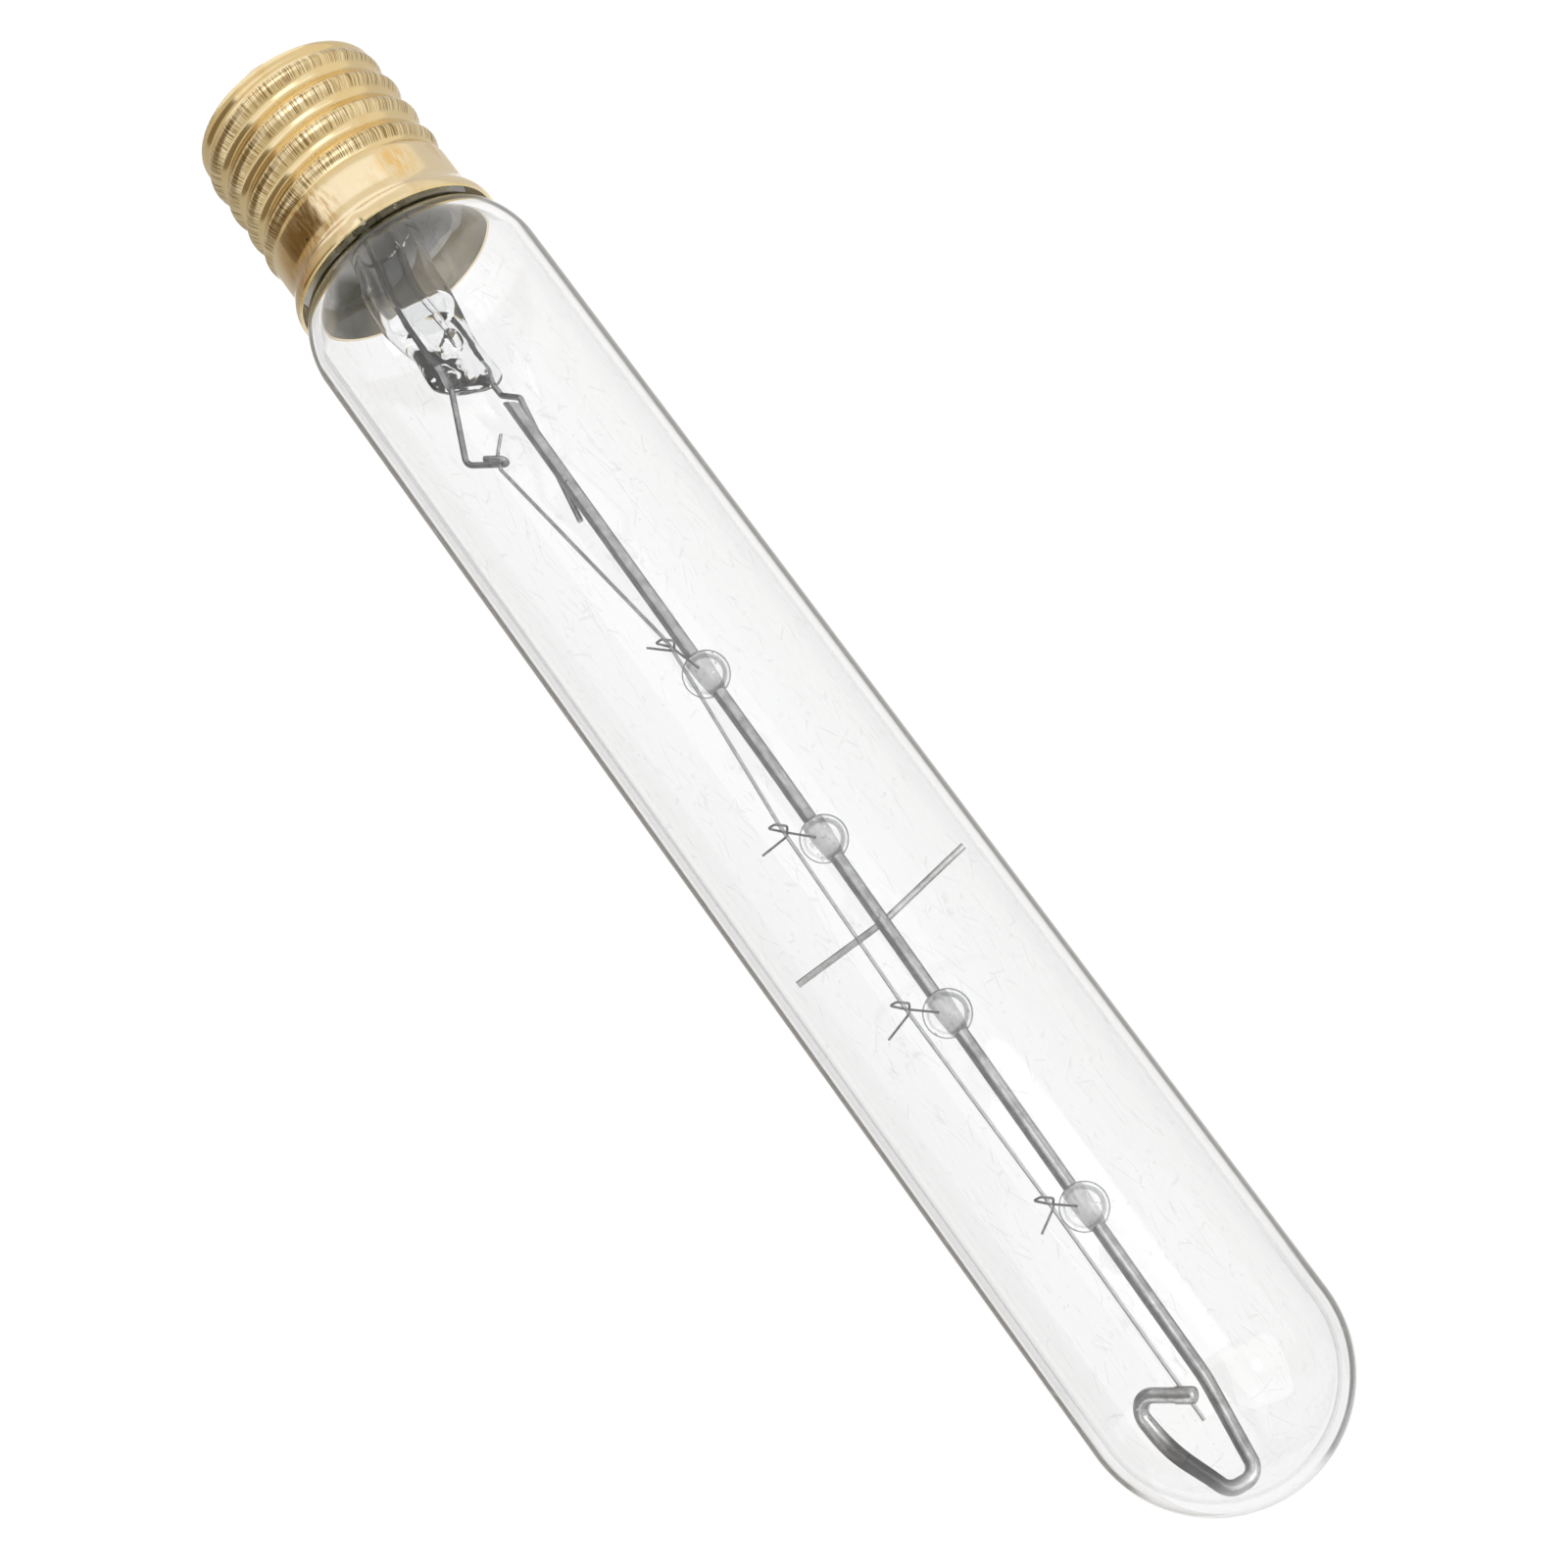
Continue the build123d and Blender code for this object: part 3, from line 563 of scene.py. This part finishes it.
def make_glass(name, stops, ior, waves=None, patches=(), marks=0.0, lumps=None):
    """Clear glass with painted shade at its edges, darker the more edge on it is seen, and a wavy surface
    and fine scratches.

    patches are the areas, each a mask, whose painted edge shade has stops of its own. lumps are uneven
    glass
    that sets in between two heights: these heights, its scale and its depth.
    """
    material, tree, shader = new_material(name, Transmission_Weight=1.0, IOR=ior, Roughness=0.0)
    facing = add(tree, "ShaderNodeLayerWeight", {"Blend": 0.5}).outputs["Facing"]
    # painted shade: the colour goes dark where the glass is seen edge on, in place of what its edges
    # reflect
    colour = ramp(tree, facing, stops)
    for mask, patch_stops in patches:
        colour = mix(tree, mask(tree), colour, ramp(tree, facing, patch_stops))
    if marks:
        worn = specks(tree, 900)
        for density, turn in ((330, (0.5, 0.3, 0.9)), (520, (-0.6, 0.2, 2.2)), (800, (0.2, -0.5, 0.4))):
            worn = math(tree, "MAXIMUM", worn, scratches(tree, density, turn))
        colour = mix(tree, math(tree, "MULTIPLY", worn, marks), colour, (0.4, 0.4, 0.41))
    tree.links.new(colour, shader.inputs["Base Color"])
    if waves:
        scale, stretch, depth = waves
        surface = math(tree, "MULTIPLY", noise(tree, scale, stretch=(1, 1, stretch), detail=1), depth)
        if lumps:
            heights, lump_scale, lump_depth = lumps
            lumpy = math(tree, "MULTIPLY", noise(tree, lump_scale, detail=1), by_height(tree, heights))
            surface = math(tree, "ADD", surface, math(tree, "MULTIPLY", lumpy, lump_depth))
        bump(tree, shader, surface, MM)
    return material


def make_plain(name, colour, other, roughness, scale, depth, dark_patch=None, **sockets):
    """Solid material with a mottled colour and a fine grain, and one dark olive patch where it has a place.
    """
    material, tree, shader = new_material(name, **sockets)
    grain = noise(tree, scale, detail=5)
    tone = mix(tree, noise(tree, scale / 8, detail=3), colour, other)
    if dark_patch:
        tone = mix(tree, near(tree, *dark_patch, 0.45), tone, (0.045, 0.048, 0.018))
    tree.links.new(tone, shader.inputs["Base Color"])
    tree.links.new(math(tree, "MULTIPLY_ADD", grain, 0.25, roughness), shader.inputs["Roughness"])
    bump(tree, shader, grain, depth * MM)
    return material


brass = make_brass()
shell_inside = make_plain(
    "shell_inside",
    (0.56, 0.5, 0.36),
    (0.38, 0.31, 0.17),
    0.45,
    1500,
    0.02,
    dark_patch=cement_olive_patch,
    Metallic=0.7,
)
contact_brass = make_metal("contact_plate", (0.62, 0.47, 0.24), (0.4, 0.28, 0.12), 0.25)
solder = make_plain("soft_solder", (0.62, 0.61, 0.65), (0.48, 0.47, 0.5), 0.3, 2500, 0.03, Metallic=1.0)
insulator_glass = make_plain("black_glass", (0.02, 0.02, 0.022), (0.035, 0.033, 0.03), 0.1, 1500, 0.01)
cement = make_plain(
    "basing_cement", (0.86, 0.85, 0.85), (0.68, 0.66, 0.62), 0.6, 2600, 0.06, dark_patch=cement_olive_patch
)
lead_metal = make_metal("lead_wire", (0.4, 0.4, 0.405), (0.2, 0.2, 0.205), 0.14)
seal_metal = make_metal("seal_wire", (0.09, 0.085, 0.085), (0.04, 0.035, 0.035), 0.3)
rod_metal = make_metal(
    "support_rod",
    (0.5, 0.5, 0.5),
    (0.28, 0.28, 0.28),
    0.12,
    welds=rod_welds,
    scorch_and_shade=rod_scorch_and_shade,
    seals=bead_centres,
)
hook_metal = make_metal("hook_wire", (0.2, 0.2, 0.205), (0.1, 0.1, 0.105), 0.2)
coil_metal = make_metal("tungsten_coil", (0.42, 0.42, 0.425), (0.24, 0.24, 0.245), 0.2)
tube_tint = (0.953, 0.954, 0.955)
clear_glass = make_glass(
    "tube_glass",
    # painted shade: the tube's edges go near black
    ((0.69, tube_tint), (0.75, (0.04, 0.04, 0.042))),
    1.5,
    waves=(90, 0.4, 0.012),
    patches=(
        # painted shade: grey bands along the tube's left edge
        (
            left_tube,
            (
                (0.555, tube_tint),
                (0.57, (0.5, 0.5, 0.505)),
                (0.59, (0.66, 0.66, 0.665)),
                (0.685, (0.64, 0.64, 0.645)),
                (0.7, tube_tint),
                (0.72, tube_tint),
                (0.755, (0.02, 0.02, 0.022)),
            ),
        ),
        # painted shade: a grey band along the dome's right edge
        (
            right_dome,
            (
                (0.5, tube_tint),
                (0.515, (0.5, 0.5, 0.505)),
                (0.54, (0.85, 0.85, 0.855)),
                (0.65, (0.8, 0.8, 0.805)),
                (0.67, tube_tint),
                (0.68, tube_tint),
                (0.715, (0.03, 0.03, 0.032)),
            ),
        ),
        # lighter painted edge shade on the dome's rim and the shoulder in the cap
        (bare_rim, ((0.7, tube_tint), (0.85, (0.7, 0.7, 0.705)))),
        # painted reflection: the brass's yellow on the front of the glass in the cap
        (front_neck, ((0.0, (0.95, 0.84, 0.44)), (1.0, (0.95, 0.84, 0.44)))),
    ),
    marks=0.33,
)
# painted shade: the tube's inner face greys where seen edge on
inner_glass = make_glass("tube_glass_inside", ((0.7, tube_tint), (0.8, (0.7, 0.7, 0.71))), 1.5)
# painted shade: the stem's edges go dark where seen edge on
stem_glass = make_glass(
    "stem_glass",
    ((0.68, (0.96, 0.963, 0.965)), (0.8, (0.58, 0.58, 0.585)), (0.94, (0.1, 0.1, 0.102))),
    1.28,
    waves=(800, 0.08, 0.06),
    lumps=((29.0, 32.0), 620, 0.6),
)
# painted shade: dark bands where the beads are seen edge on, placed otherwise on their left side
bead_glass = make_glass(
    "bead_glass",
    (
        (0.22, (0.93, 0.932, 0.935)),
        (0.28, (0.16, 0.16, 0.162)),
        (0.44, (0.25, 0.25, 0.252)),
        (0.5, (0.95, 0.952, 0.953)),
        (0.6, (0.93, 0.932, 0.933)),
        (0.72, (0.0, 0.0, 0.0)),
    ),
    1.52,
    waves=(500, 0.6, 0.02),
    patches=(
        (
            left_side,
            (
                (0.28, (0.93, 0.932, 0.935)),
                (0.36, (0.5, 0.5, 0.502)),
                (0.5, (0.95, 0.952, 0.953)),
                (0.63, (0.93, 0.932, 0.933)),
                (0.74, (0.02, 0.02, 0.02)),
            ),
        ),
    ),
)


# Screw shell: the thread's rings swing round the axis as they climb
thread_start = shell_end + shell_bend
thread_mean = crest_radius - thread_depth / 2
lip_turn = 2 * atan(lip_flare / lip_height)
lip_curve = (lip_flare**2 + lip_height**2) / (4 * lip_flare)


def thread_ring(height, sheet):
    rise = min(height - thread_start, thread_end - height) / thread_runout
    swing = thread_depth / 2 * smooth_step(rise)
    angle = tau * (height - thread_crest_height) / thread_pitch
    widening = smooth_step((height - thread_end) / thread_pitch + 1)
    mean = thread_mean + (skirt_radius - thread_mean) * widening
    return ring(mean - sheet, height, (swing * cos(angle), swing * sin(angle)))


def lip_profile(sheet):
    """The lip's double curve, out from the skirt and up."""
    foot = cap_length - lip_height
    out_centre = (skirt_radius + lip_curve, foot)
    in_centre = (skirt_radius + lip_flare - lip_curve, cap_length)
    points = arc(out_centre, lip_curve, pi, pi - lip_turn, 10)
    points += arc(in_centre, lip_curve, -lip_turn, 0, 10)[1:]
    return [(r - sheet, z) for r, z in points]


def shell_rings():
    bend_centre = (thread_mean - shell_bend, thread_start)
    outer = [(shell_mouth, shell_end)]
    outer += arc(bend_centre, shell_bend, -pi / 2, 0, 10)
    inner = arc(bend_centre, shell_bend - shell_sheet, 0, -pi / 2, 10)
    inner += [(shell_mouth, shell_end + shell_sheet)]
    heights = spread(thread_start, thread_end, 130)
    skirt_heights = spread(thread_end, cap_length - lip_height, 8)[1:-1]
    rim_outer, rim_inner = lip_profile(0), lip_profile(shell_sheet)
    edge = [(skirt_radius + lip_flare - shell_sheet / 2, cap_length + lip_round)]
    outside = [ring(r, z) for r, z in outer]
    outside += [thread_ring(z, 0) for z in heights[1:]]
    outside += [ring(skirt_radius, z) for z in skirt_heights]
    outside += [ring(r, z) for r, z in rim_outer + edge]
    inside = [ring(r, z) for r, z in rim_inner[::-1]]
    inside += [ring(skirt_radius - shell_sheet, z) for z in skirt_heights[::-1]]
    inside += [thread_ring(z, shell_sheet) for z in heights[:0:-1]]
    inside += [ring(r, z) for r, z in inner]
    return outside, inside


def crest_band(height, angle):
    """1 on the band that the rolling tool marked, along the crest and just above it."""
    turns = (height - thread_crest_height) / thread_pitch - angle / tau
    past_crest = (turns + 0.5) % 1 - 0.5
    low, high = crest_band_edges
    from_edge = min(past_crest - low, high - past_crest)
    from_end = min(height - shell_end, thread_end - height)
    return smooth_step(from_edge / crest_band_fade) * smooth_step(from_end / crest_end_fade)


shell_segments = 224
shell_outside, shell_inner = shell_rings()
shell_mesh = ring_mesh("screw_shell_finish", shell_outside + shell_inner, shell_segments, closed=True)
crest_marks = shell_mesh.attributes.new("crest", "FLOAT", "POINT")
for vertex, mark in zip(shell_mesh.vertices, crest_marks.data):
    x, y, height = vertex.co / MM
    angle = atan2(y, x)
    mark.value = crest_band(height, angle)
    aside = hypot(x, y) * (angle - radians(lip_dent_angle)) / lip_dent_width
    dent = lip_dent_depth * exp(-aside * aside) * smooth_step(1 + (height - cap_length) / lip_dent_height)
    vertex.co -= Vector((cos(angle), sin(angle), lip_dent_fall)) * dent * MM
shell = new_piece("screw_shell_finish", shell_mesh)
fitted(shell, "shell_brass", brass, "screw_shell")
shell_mesh.materials.append(shell_inside)
for face in shell_mesh.polygons:
    face.material_index = int(face.index >= len(shell_outside) * shell_segments)

# Envelope
neck_turn = acos(1 - (glass_radius - neck_radius) / (shoulder_curve + neck_curve))
neck_top = shoulder_top - (shoulder_curve + neck_curve) * sin(neck_turn)
dome_centre = overall_length - glass_radius


def glass_profile(wall):
    """Neck, hollow, shoulder, tube and dome, drawn in by the wall."""
    hollow_centre = (neck_radius + neck_curve, neck_top)
    shoulder_centre = (glass_radius - shoulder_curve, shoulder_top)
    points = [(neck_radius - wall, z) for z in spread(neck_end, neck_top, 6)[:-1]]
    points += arc(hollow_centre, neck_curve + wall, pi, pi - neck_turn, 24)
    points += arc(shoulder_centre, shoulder_curve - wall, -neck_turn, 0, 28)[1:]
    points += [(glass_radius - wall, z) for z in spread(shoulder_top, dome_centre, 30)[1:]]
    points += arc((0, dome_centre), glass_radius - wall, 0, pi / 2, 48)[1:-1]
    return points + [(0, overall_length - wall)]


glass_rings = [ring(r, z) for r, z in glass_profile(0) + glass_profile(glass_wall)[::-1]]
glass_segments = 256
glass_mesh = ring_mesh("glass_envelope_finish", glass_rings, glass_segments, closed=True)
envelope = new_piece("glass_envelope_finish", glass_mesh)
fitted(envelope, "bulb_glass", clear_glass, "glass_envelope")
glass_mesh.materials.append(inner_glass)
outside_faces = (len(glass_rings) // 2 - 1) * glass_segments
for face in glass_mesh.polygons:
    face.material_index = int(face.index >= outside_faces)
envelope.visible_shadow = False

# Stem: flare, leaning tube and press, with the exhaust tube fused into it
press_turn = radians(press_angle)
neck_bore = neck_radius - glass_wall
flare_height = flare_top - neck_end
flare_width = neck_bore - stem_radius
flare_curve = (flare_width**2 + flare_height**2) / (2 * flare_width)
under_curve = flare_curve + stem_radius - stem_bore
rim_foot = neck_end - flare_rim


def stem_centre(height):
    return (stem_offset * smooth_step((height - flare_top) / (stem_straight - flare_top)), 0.0)


def press_slope(k):
    """Change of the press's half width and half depth at a section."""
    before, after = press_sections[max(k - 1, 0)], press_sections[min(k + 1, len(press_sections) - 1)]
    return [(b - a) / (after[0] - before[0]) for a, b in zip(before[1:], after[1:])]


def press_size(share):
    """Half width and half depth of the press, on a smooth curve through its sections."""
    k = max(i for i, section in enumerate(press_sections[:-1]) if section[0] <= share)
    start, end = press_sections[k], press_sections[k + 1]
    length = end[0] - start[0]
    t = (share - start[0]) / length
    ease = smooth_step(t)
    sizes = []
    for a, b, a_slope, b_slope in zip(start[1:], end[1:], press_slope(k), press_slope(k + 1)):
        pull = t * (1 - t) * length * ((1 - t) * a_slope - t * b_slope)
        sizes.append(a + (b - a) * ease + pull)
    return sizes


def stem_rings():
    rings = [ring(neck_radius, rim_foot), ring(neck_radius, neck_end), ring(neck_bore, neck_end)]
    for height in spread(neck_end, flare_top, 20)[1:]:
        radius = stem_radius + flare_curve - sqrt(flare_curve**2 - (flare_top - height) ** 2)
        rings.append(ring(radius, height))
    for height in spread(flare_top, press_start, 24)[1:]:
        rings.append(ring(stem_radius, height, stem_centre(height), turn=press_turn))
    for height in spread(press_start, press_end - press_edge, 40)[1:]:
        width, depth = press_size((height - press_start) / (press_end - press_start))
        rings.append(ring(width, height, stem_centre(height), depth, press_turn))
    for angle in spread(0, pi / 2, 10)[1:]:
        inset = press_edge * (1 - cos(angle))
        height = press_end - press_edge * (1 - sin(angle))
        width, depth = press_size((height - press_start) / (press_end - press_start))
        rings.append(ring(width - inset, height, stem_centre(height), depth - inset, press_turn))
    for share in (0.8, 0.55, 0.3, 0.1):
        width_in, depth_in = (width - press_edge) * share, (depth - press_edge) * share
        height = press_end + press_crown * (1 - share * share)
        rings.append(ring(width_in, height, stem_centre(height), depth_in, press_turn))
    rings.append(ring(0, press_end + press_crown, stem_centre(press_end)))
    return rings


def bore_rings():
    """Inside of the flare and stem, and down the outside of the exhaust tube to its tip."""
    taper_end = exhaust_tip + exhaust_taper
    fillet_start = exhaust_seat - exhaust_fillet
    fillet_top = exhaust_seat - exhaust_fillet / 2
    rings = [ring(0, exhaust_tip), ring(exhaust_bore / 2, exhaust_tip), ring(exhaust_radius, taper_end)]
    for height in spread(taper_end, fillet_start, 40)[1:]:
        rings.append(ring(exhaust_radius, height, stem_centre(height)))
    rings.append(ring(exhaust_radius + exhaust_fillet / 2, fillet_top, stem_centre(fillet_top)))
    for height in spread(fillet_start, press_start, 8):
        share = smooth_step((height - press_start) / (exhaust_seat - press_start))
        radius = stem_bore + (exhaust_radius + exhaust_fillet - stem_bore) * share
        rings.append(ring(radius, height, stem_centre(height)))
    for height in spread(press_start, flare_top, 24)[1:]:
        rings.append(ring(stem_bore, height, stem_centre(height)))
    for height in spread(flare_top, rim_foot, 20)[1:]:
        radius = stem_bore + under_curve - sqrt(under_curve**2 - (flare_top - height) ** 2)
        rings.append(ring(radius, height))
    return rings


def cut(piece, cutter_mesh):
    """Cuts a closed mesh out of a piece."""
    cutter = bpy.data.objects.new("cutter", cutter_mesh)
    scene.collection.objects.link(cutter)
    modifier = piece.modifiers.new("cut", "BOOLEAN")
    modifier.operation = "DIFFERENCE"
    modifier.solver = "EXACT"
    modifier.object = cutter
    bpy.context.view_layer.update()
    evaluated = piece.evaluated_get(bpy.context.evaluated_depsgraph_get())
    mesh = bpy.data.meshes.new_from_object(evaluated)
    piece.modifiers.clear()
    piece.data = mesh
    bpy.data.objects.remove(cutter)
    smooth_faces(mesh)


stem_mesh = ring_mesh("glass_stem_finish", bore_rings() + stem_rings(), 96)
stem = new_piece("glass_stem_finish", stem_mesh)
channel = [ring(0, exhaust_tip + exhaust_taper)]
for height in spread(exhaust_tip + exhaust_taper, exhaust_hole_height, 50):
    channel.append(ring(exhaust_bore, height, stem_centre(height)))
for angle in spread(0, pi / 2, 8)[1:-1]:
    height = exhaust_hole_height + exhaust_bore * sin(angle)
    channel.append(ring(exhaust_bore * cos(angle), height, (stem_offset, 0.0)))
channel.append(ring(0, exhaust_hole_height + exhaust_bore, (stem_offset, 0.0)))
cut(stem, ring_mesh("exhaust_channel", channel, 64))
hole_out = Vector((cos(radians(exhaust_hole_angle)), sin(radians(exhaust_hole_angle)), 0))
hole_start = Vector((stem_offset, 0, exhaust_hole_height))
hole_line = [hole_start + hole_out * reach for reach in (0, 2, 4)]
cut(stem, tube_mesh("blow_hole", hole_line, exhaust_hole_radius, 48))
fitted(stem, "stem_glass", stem_glass, "glass_stem", "exhaust_tube")
stem.visible_shadow = False

# Beads, each with a few bubbles in its glass
chance = Random(7)
bubble_count = 5
for number, centre in enumerate(bead_centres, start=1):
    bm = bmesh.new()
    place = Matrix.Translation(Vector(centre) * MM)
    bmesh.ops.create_uvsphere(bm, u_segments=64, v_segments=40, radius=bead_radius * MM, matrix=place)
    for _ in range(bubble_count):
        angle, reach, rise = chance.uniform(0, tau), chance.uniform(0.75, 1.35), chance.uniform(-0.8, 0.8)
        spot = Vector((reach * cos(angle), reach * sin(angle), rise)) * MM
        bubble = bmesh.ops.create_icosphere(
            bm,
            subdivisions=2,
            radius=chance.uniform(0.05, 0.12) * MM,
            matrix=Matrix.Translation(Vector(centre) * MM + spot),
        )
        bubble_faces = {face for vertex in bubble["verts"] for face in vertex.link_faces}
        bmesh.ops.reverse_faces(bm, faces=list(bubble_faces))
    bead_mesh = bpy.data.meshes.new(f"glass_bead_{number}_finish")
    bm.to_mesh(bead_mesh)
    bm.free()
    bead = new_piece(f"glass_bead_{number}_finish", bead_mesh)
    fitted(bead, "bead_glass", bead_glass, f"glass_bead_{number}")
    bead.visible_shadow = False

# Filament: a fine coil along its route
filament_line = rounded_route(filament_route, filament_bends, 0.05)
coil_line = even_points(filament_line, filament_pitch / coil_steps)
coil_radius = filament_radius - filament_wire
coil_points = []
for i, (point, across, over) in enumerate(carried_frames(coil_line)):
    angle = tau * i / coil_steps
    coil_points.append(point + (across * cos(angle) + over * sin(angle)) * coil_radius)
coil = new_piece("filament_finish", tube_mesh("filament_finish", coil_points, filament_wire, 6), sharp=60)
fitted(coil, "filament_wire", coil_metal, "filament")

# The other pieces keep their solids' shapes
finishes = {
    "cap_insulator": ("insulator_glass", insulator_glass),
    "centre_contact": ("contact_brass", contact_brass),
    "contact_solder": ("solder", solder),
    "side_solder": ("solder", solder),
    "basing_cement": ("cement", cement),
    "outer_lead_centre": ("lead_wire", lead_metal),
    "outer_lead_side": ("lead_wire", lead_metal),
    "seal_wire_filament": ("seal_wire", seal_metal),
    "seal_wire_rod": ("seal_wire", seal_metal),
    "filament_lead": ("lead_wire", lead_metal),
    "rod_lead": ("lead_wire", lead_metal),
    "support_rod": ("rod_wire", rod_metal),
    **{f"filament_hook_{number}": ("hook_wire", hook_metal) for number in (1, 2, 3, 4)},
    "spacer_wire": ("rod_wire", rod_metal),
}
for node, (slot, material) in finishes.items():
    fitted(new_piece(node + "_finish", solid_copy(node)), slot, material, node)


# Stage: pale floor well below the held bulb, soft lamps, and flags that only reflections show
def seen_directly(tree):
    """1 for rays that show the background: from the camera, and through or off the bulb."""
    path = add(tree, "ShaderNodeLightPath")
    shown = math(tree, "MAXIMUM", path.outputs["Is Camera Ray"], path.outputs["Is Glossy Ray"])
    return math(tree, "MAXIMUM", shown, path.outputs["Is Transmission Ray"])


floor_drop = 0.09
floor_glow = 0.74
world_light = 0.55
world = bpy.data.worlds.new("studio")
scene.world = world
world.use_nodes = True
world_tree = world.node_tree
world_shown = seen_directly(world_tree)
world_strength = math(world_tree, "MULTIPLY_ADD", world_shown, 1 - world_light, world_light)
world_tree.links.new(world_strength, world_tree.nodes["Background"].inputs["Strength"])
world_tree.nodes["Background"].inputs["Color"].default_value = (1, 1, 1, 1)

floor_mesh = bpy.data.meshes.new("floor")
bm = bmesh.new()
bmesh.ops.create_grid(bm, x_segments=1, y_segments=1, size=4)
bm.to_mesh(floor_mesh)
bm.free()
floor = bpy.data.objects.new("floor", floor_mesh)
scene.collection.objects.link(floor)
floor.location.z = -floor_drop
floor_material, floor_tree, floor_shader = new_material("pale_floor", Roughness=0.9)
floor_shader.inputs["Base Color"].default_value = (0.4, 0.4, 0.4, 1)
floor_shader.inputs["Emission Color"].default_value = (1, 1, 1, 1)
floor_strength = math(floor_tree, "MULTIPLY", seen_directly(floor_tree), floor_glow)
floor_tree.links.new(floor_strength, floor_shader.inputs["Emission Strength"])
floor_mesh.materials.append(floor_material)


def aim(obj, place, target):
    obj.location = place
    obj.rotation_euler = (Vector(target) - Vector(place)).to_track_quat("-Z", "Y").to_euler()


def soft_lamp(name, place, size, watts, reflected=False):
    """Square lamp that looks at the bulb's middle, and shows in its reflections only where asked."""
    light = bpy.data.lights.new(name, "AREA")
    light.size = size
    light.energy = watts
    lamp = bpy.data.objects.new(name, light)
    scene.collection.objects.link(lamp)
    lamp.visible_glossy = reflected
    aim(lamp, place, (0, 0, overall_length * MM / 2))


soft_lamp("key_lamp", (-0.45, -0.55, 0.55), 0.8, 3.0)
soft_lamp("fill_lamp", (0.6, -0.35, 0.25), 0.8, 1.5)
soft_lamp("front_lamp", (-0.32, -0.41, 0.37), 0.07, 0.15, reflected=True)
soft_lamp("glint_lamp", (-0.145, -0.58, 0.07), 0.28, 0.29, reflected=True)

# Flags, in metres: the profiles are distances from the axis and heights
flag_level = -0.085
flag_near = 0.05
flag_step = 0.15  # where the front's lighter flag ends and its darker one begins
flag_far = 0.25
flag_profile = ((flag_near, flag_level), (flag_far, flag_level), (flag_far, 0.2))
front_profile = ((flag_step, flag_level), (flag_far, flag_level), (flag_far, 0.09))
front_low_profile = ((flag_near, flag_level), (flag_step, flag_level))
under_profile = ((flag_near, flag_level), (0.17, flag_level))
upper_profile = ((0.26, 0.13), (0.26, 0.34))


def flag(name, start, end, shade, profile=flag_profile, in_glass=False):
    """Card bent round and under the cap between two azimuths, which only reflections show.

    in_glass says that it shows on what is inside the glass, by light that goes in and out through
    both faces of the wall, and not on the cap or in the glass itself.
    """
    steps, rows = 12, len(profile)
    corners = []
    for azimuth in spread(radians(start), radians(end), steps):
        corners += [(r * cos(azimuth), r * sin(azimuth), z) for r, z in profile]
    faces = []
    for i in range(steps):
        for k in range(rows * i, rows * i + rows - 1):
            faces.append((k, k + 1, k + rows + 1, k + rows))
    mesh = bpy.data.meshes.new(name)
    mesh.from_pydata(corners, [], faces)
    card = bpy.data.objects.new(name, mesh)
    scene.collection.objects.link(card)
    material, tree, shader = new_material(name + "_cloth", Roughness=1.0)
    path = add(tree, "ShaderNodeLightPath")
    shown = math(tree, "GREATER_THAN", path.outputs["Glossy Depth"], 0.5)
    if in_glass:
        walls = math(tree, "COMPARE", path.outputs["Transmission Depth"], 4, 0.5)
        shown = math(tree, "MULTIPLY", shown, walls)
    tree.links.new(shown, shader.inputs["Alpha"])
    shader.inputs["Base Color"].default_value = (0, 0, 0, 1)
    shader.inputs["Specular IOR Level"].default_value = 0
    shader.inputs["Emission Color"].default_value = (*shade, 1)
    shader.inputs["Emission Strength"].default_value = 1
    mesh.materials.append(material)
    card.visible_camera = False
    card.visible_diffuse = False
    card.visible_glossy = not in_glass
    card.visible_transmission = in_glass
    card.visible_shadow = False


flag("front_flag", -52, 12, (0.24, 0.19, 0.12), front_profile)
flag("front_low_flag", -52, 12, (0.66, 0.59, 0.45), front_low_profile)
flag("side_flag", 12, 75, (0.55, 0.52, 0.46))
flag("back_flag", 110, 172, (0.72, 0.69, 0.64))
flag("left_flag", -188, -140, (0.92, 0.87, 0.76))
flag("under_flag", -188, -52, (0.86, 0.8, 0.68), under_profile)
flag("upper_flag", -188, 12, (0.68, 0.61, 0.47), upper_profile)
flag("wire_front_flag", -60, 10, (0.34, 0.34, 0.34), in_glass=True)
flag("wire_left_flag", 10, 75, (0.45, 0.45, 0.45), in_glass=True)
flag("wire_right_flag", 115, 165, (0.5, 0.5, 0.5), in_glass=True)

# Camera at the photograph's angle, turned so that the bulb hangs to the lower right
camera_azimuth = 0.05
camera_elevation = 20.66
camera_roll = 143.7
camera_distance = 0.3293
camera_lens = 102.15
camera_sensor = 36.0
camera_target = Vector((-0.27, 0, 75.45)) * MM

camera_data = bpy.data.cameras.new("camera")
camera_data.lens = camera_lens
camera_data.sensor_width = camera_sensor
camera = bpy.data.objects.new("camera", camera_data)
scene.collection.objects.link(camera)
tilt = Euler((radians(90 - camera_elevation), 0, radians(camera_azimuth))).to_matrix().to_4x4()
back = tilt.to_3x3() @ Vector((0, 0, 1))
turn = Matrix.Rotation(radians(camera_roll), 4, "Z")
camera.matrix_world = Matrix.Translation(camera_target + back * camera_distance) @ tilt @ turn
scene.camera = camera

bpy.context.view_layer.update()
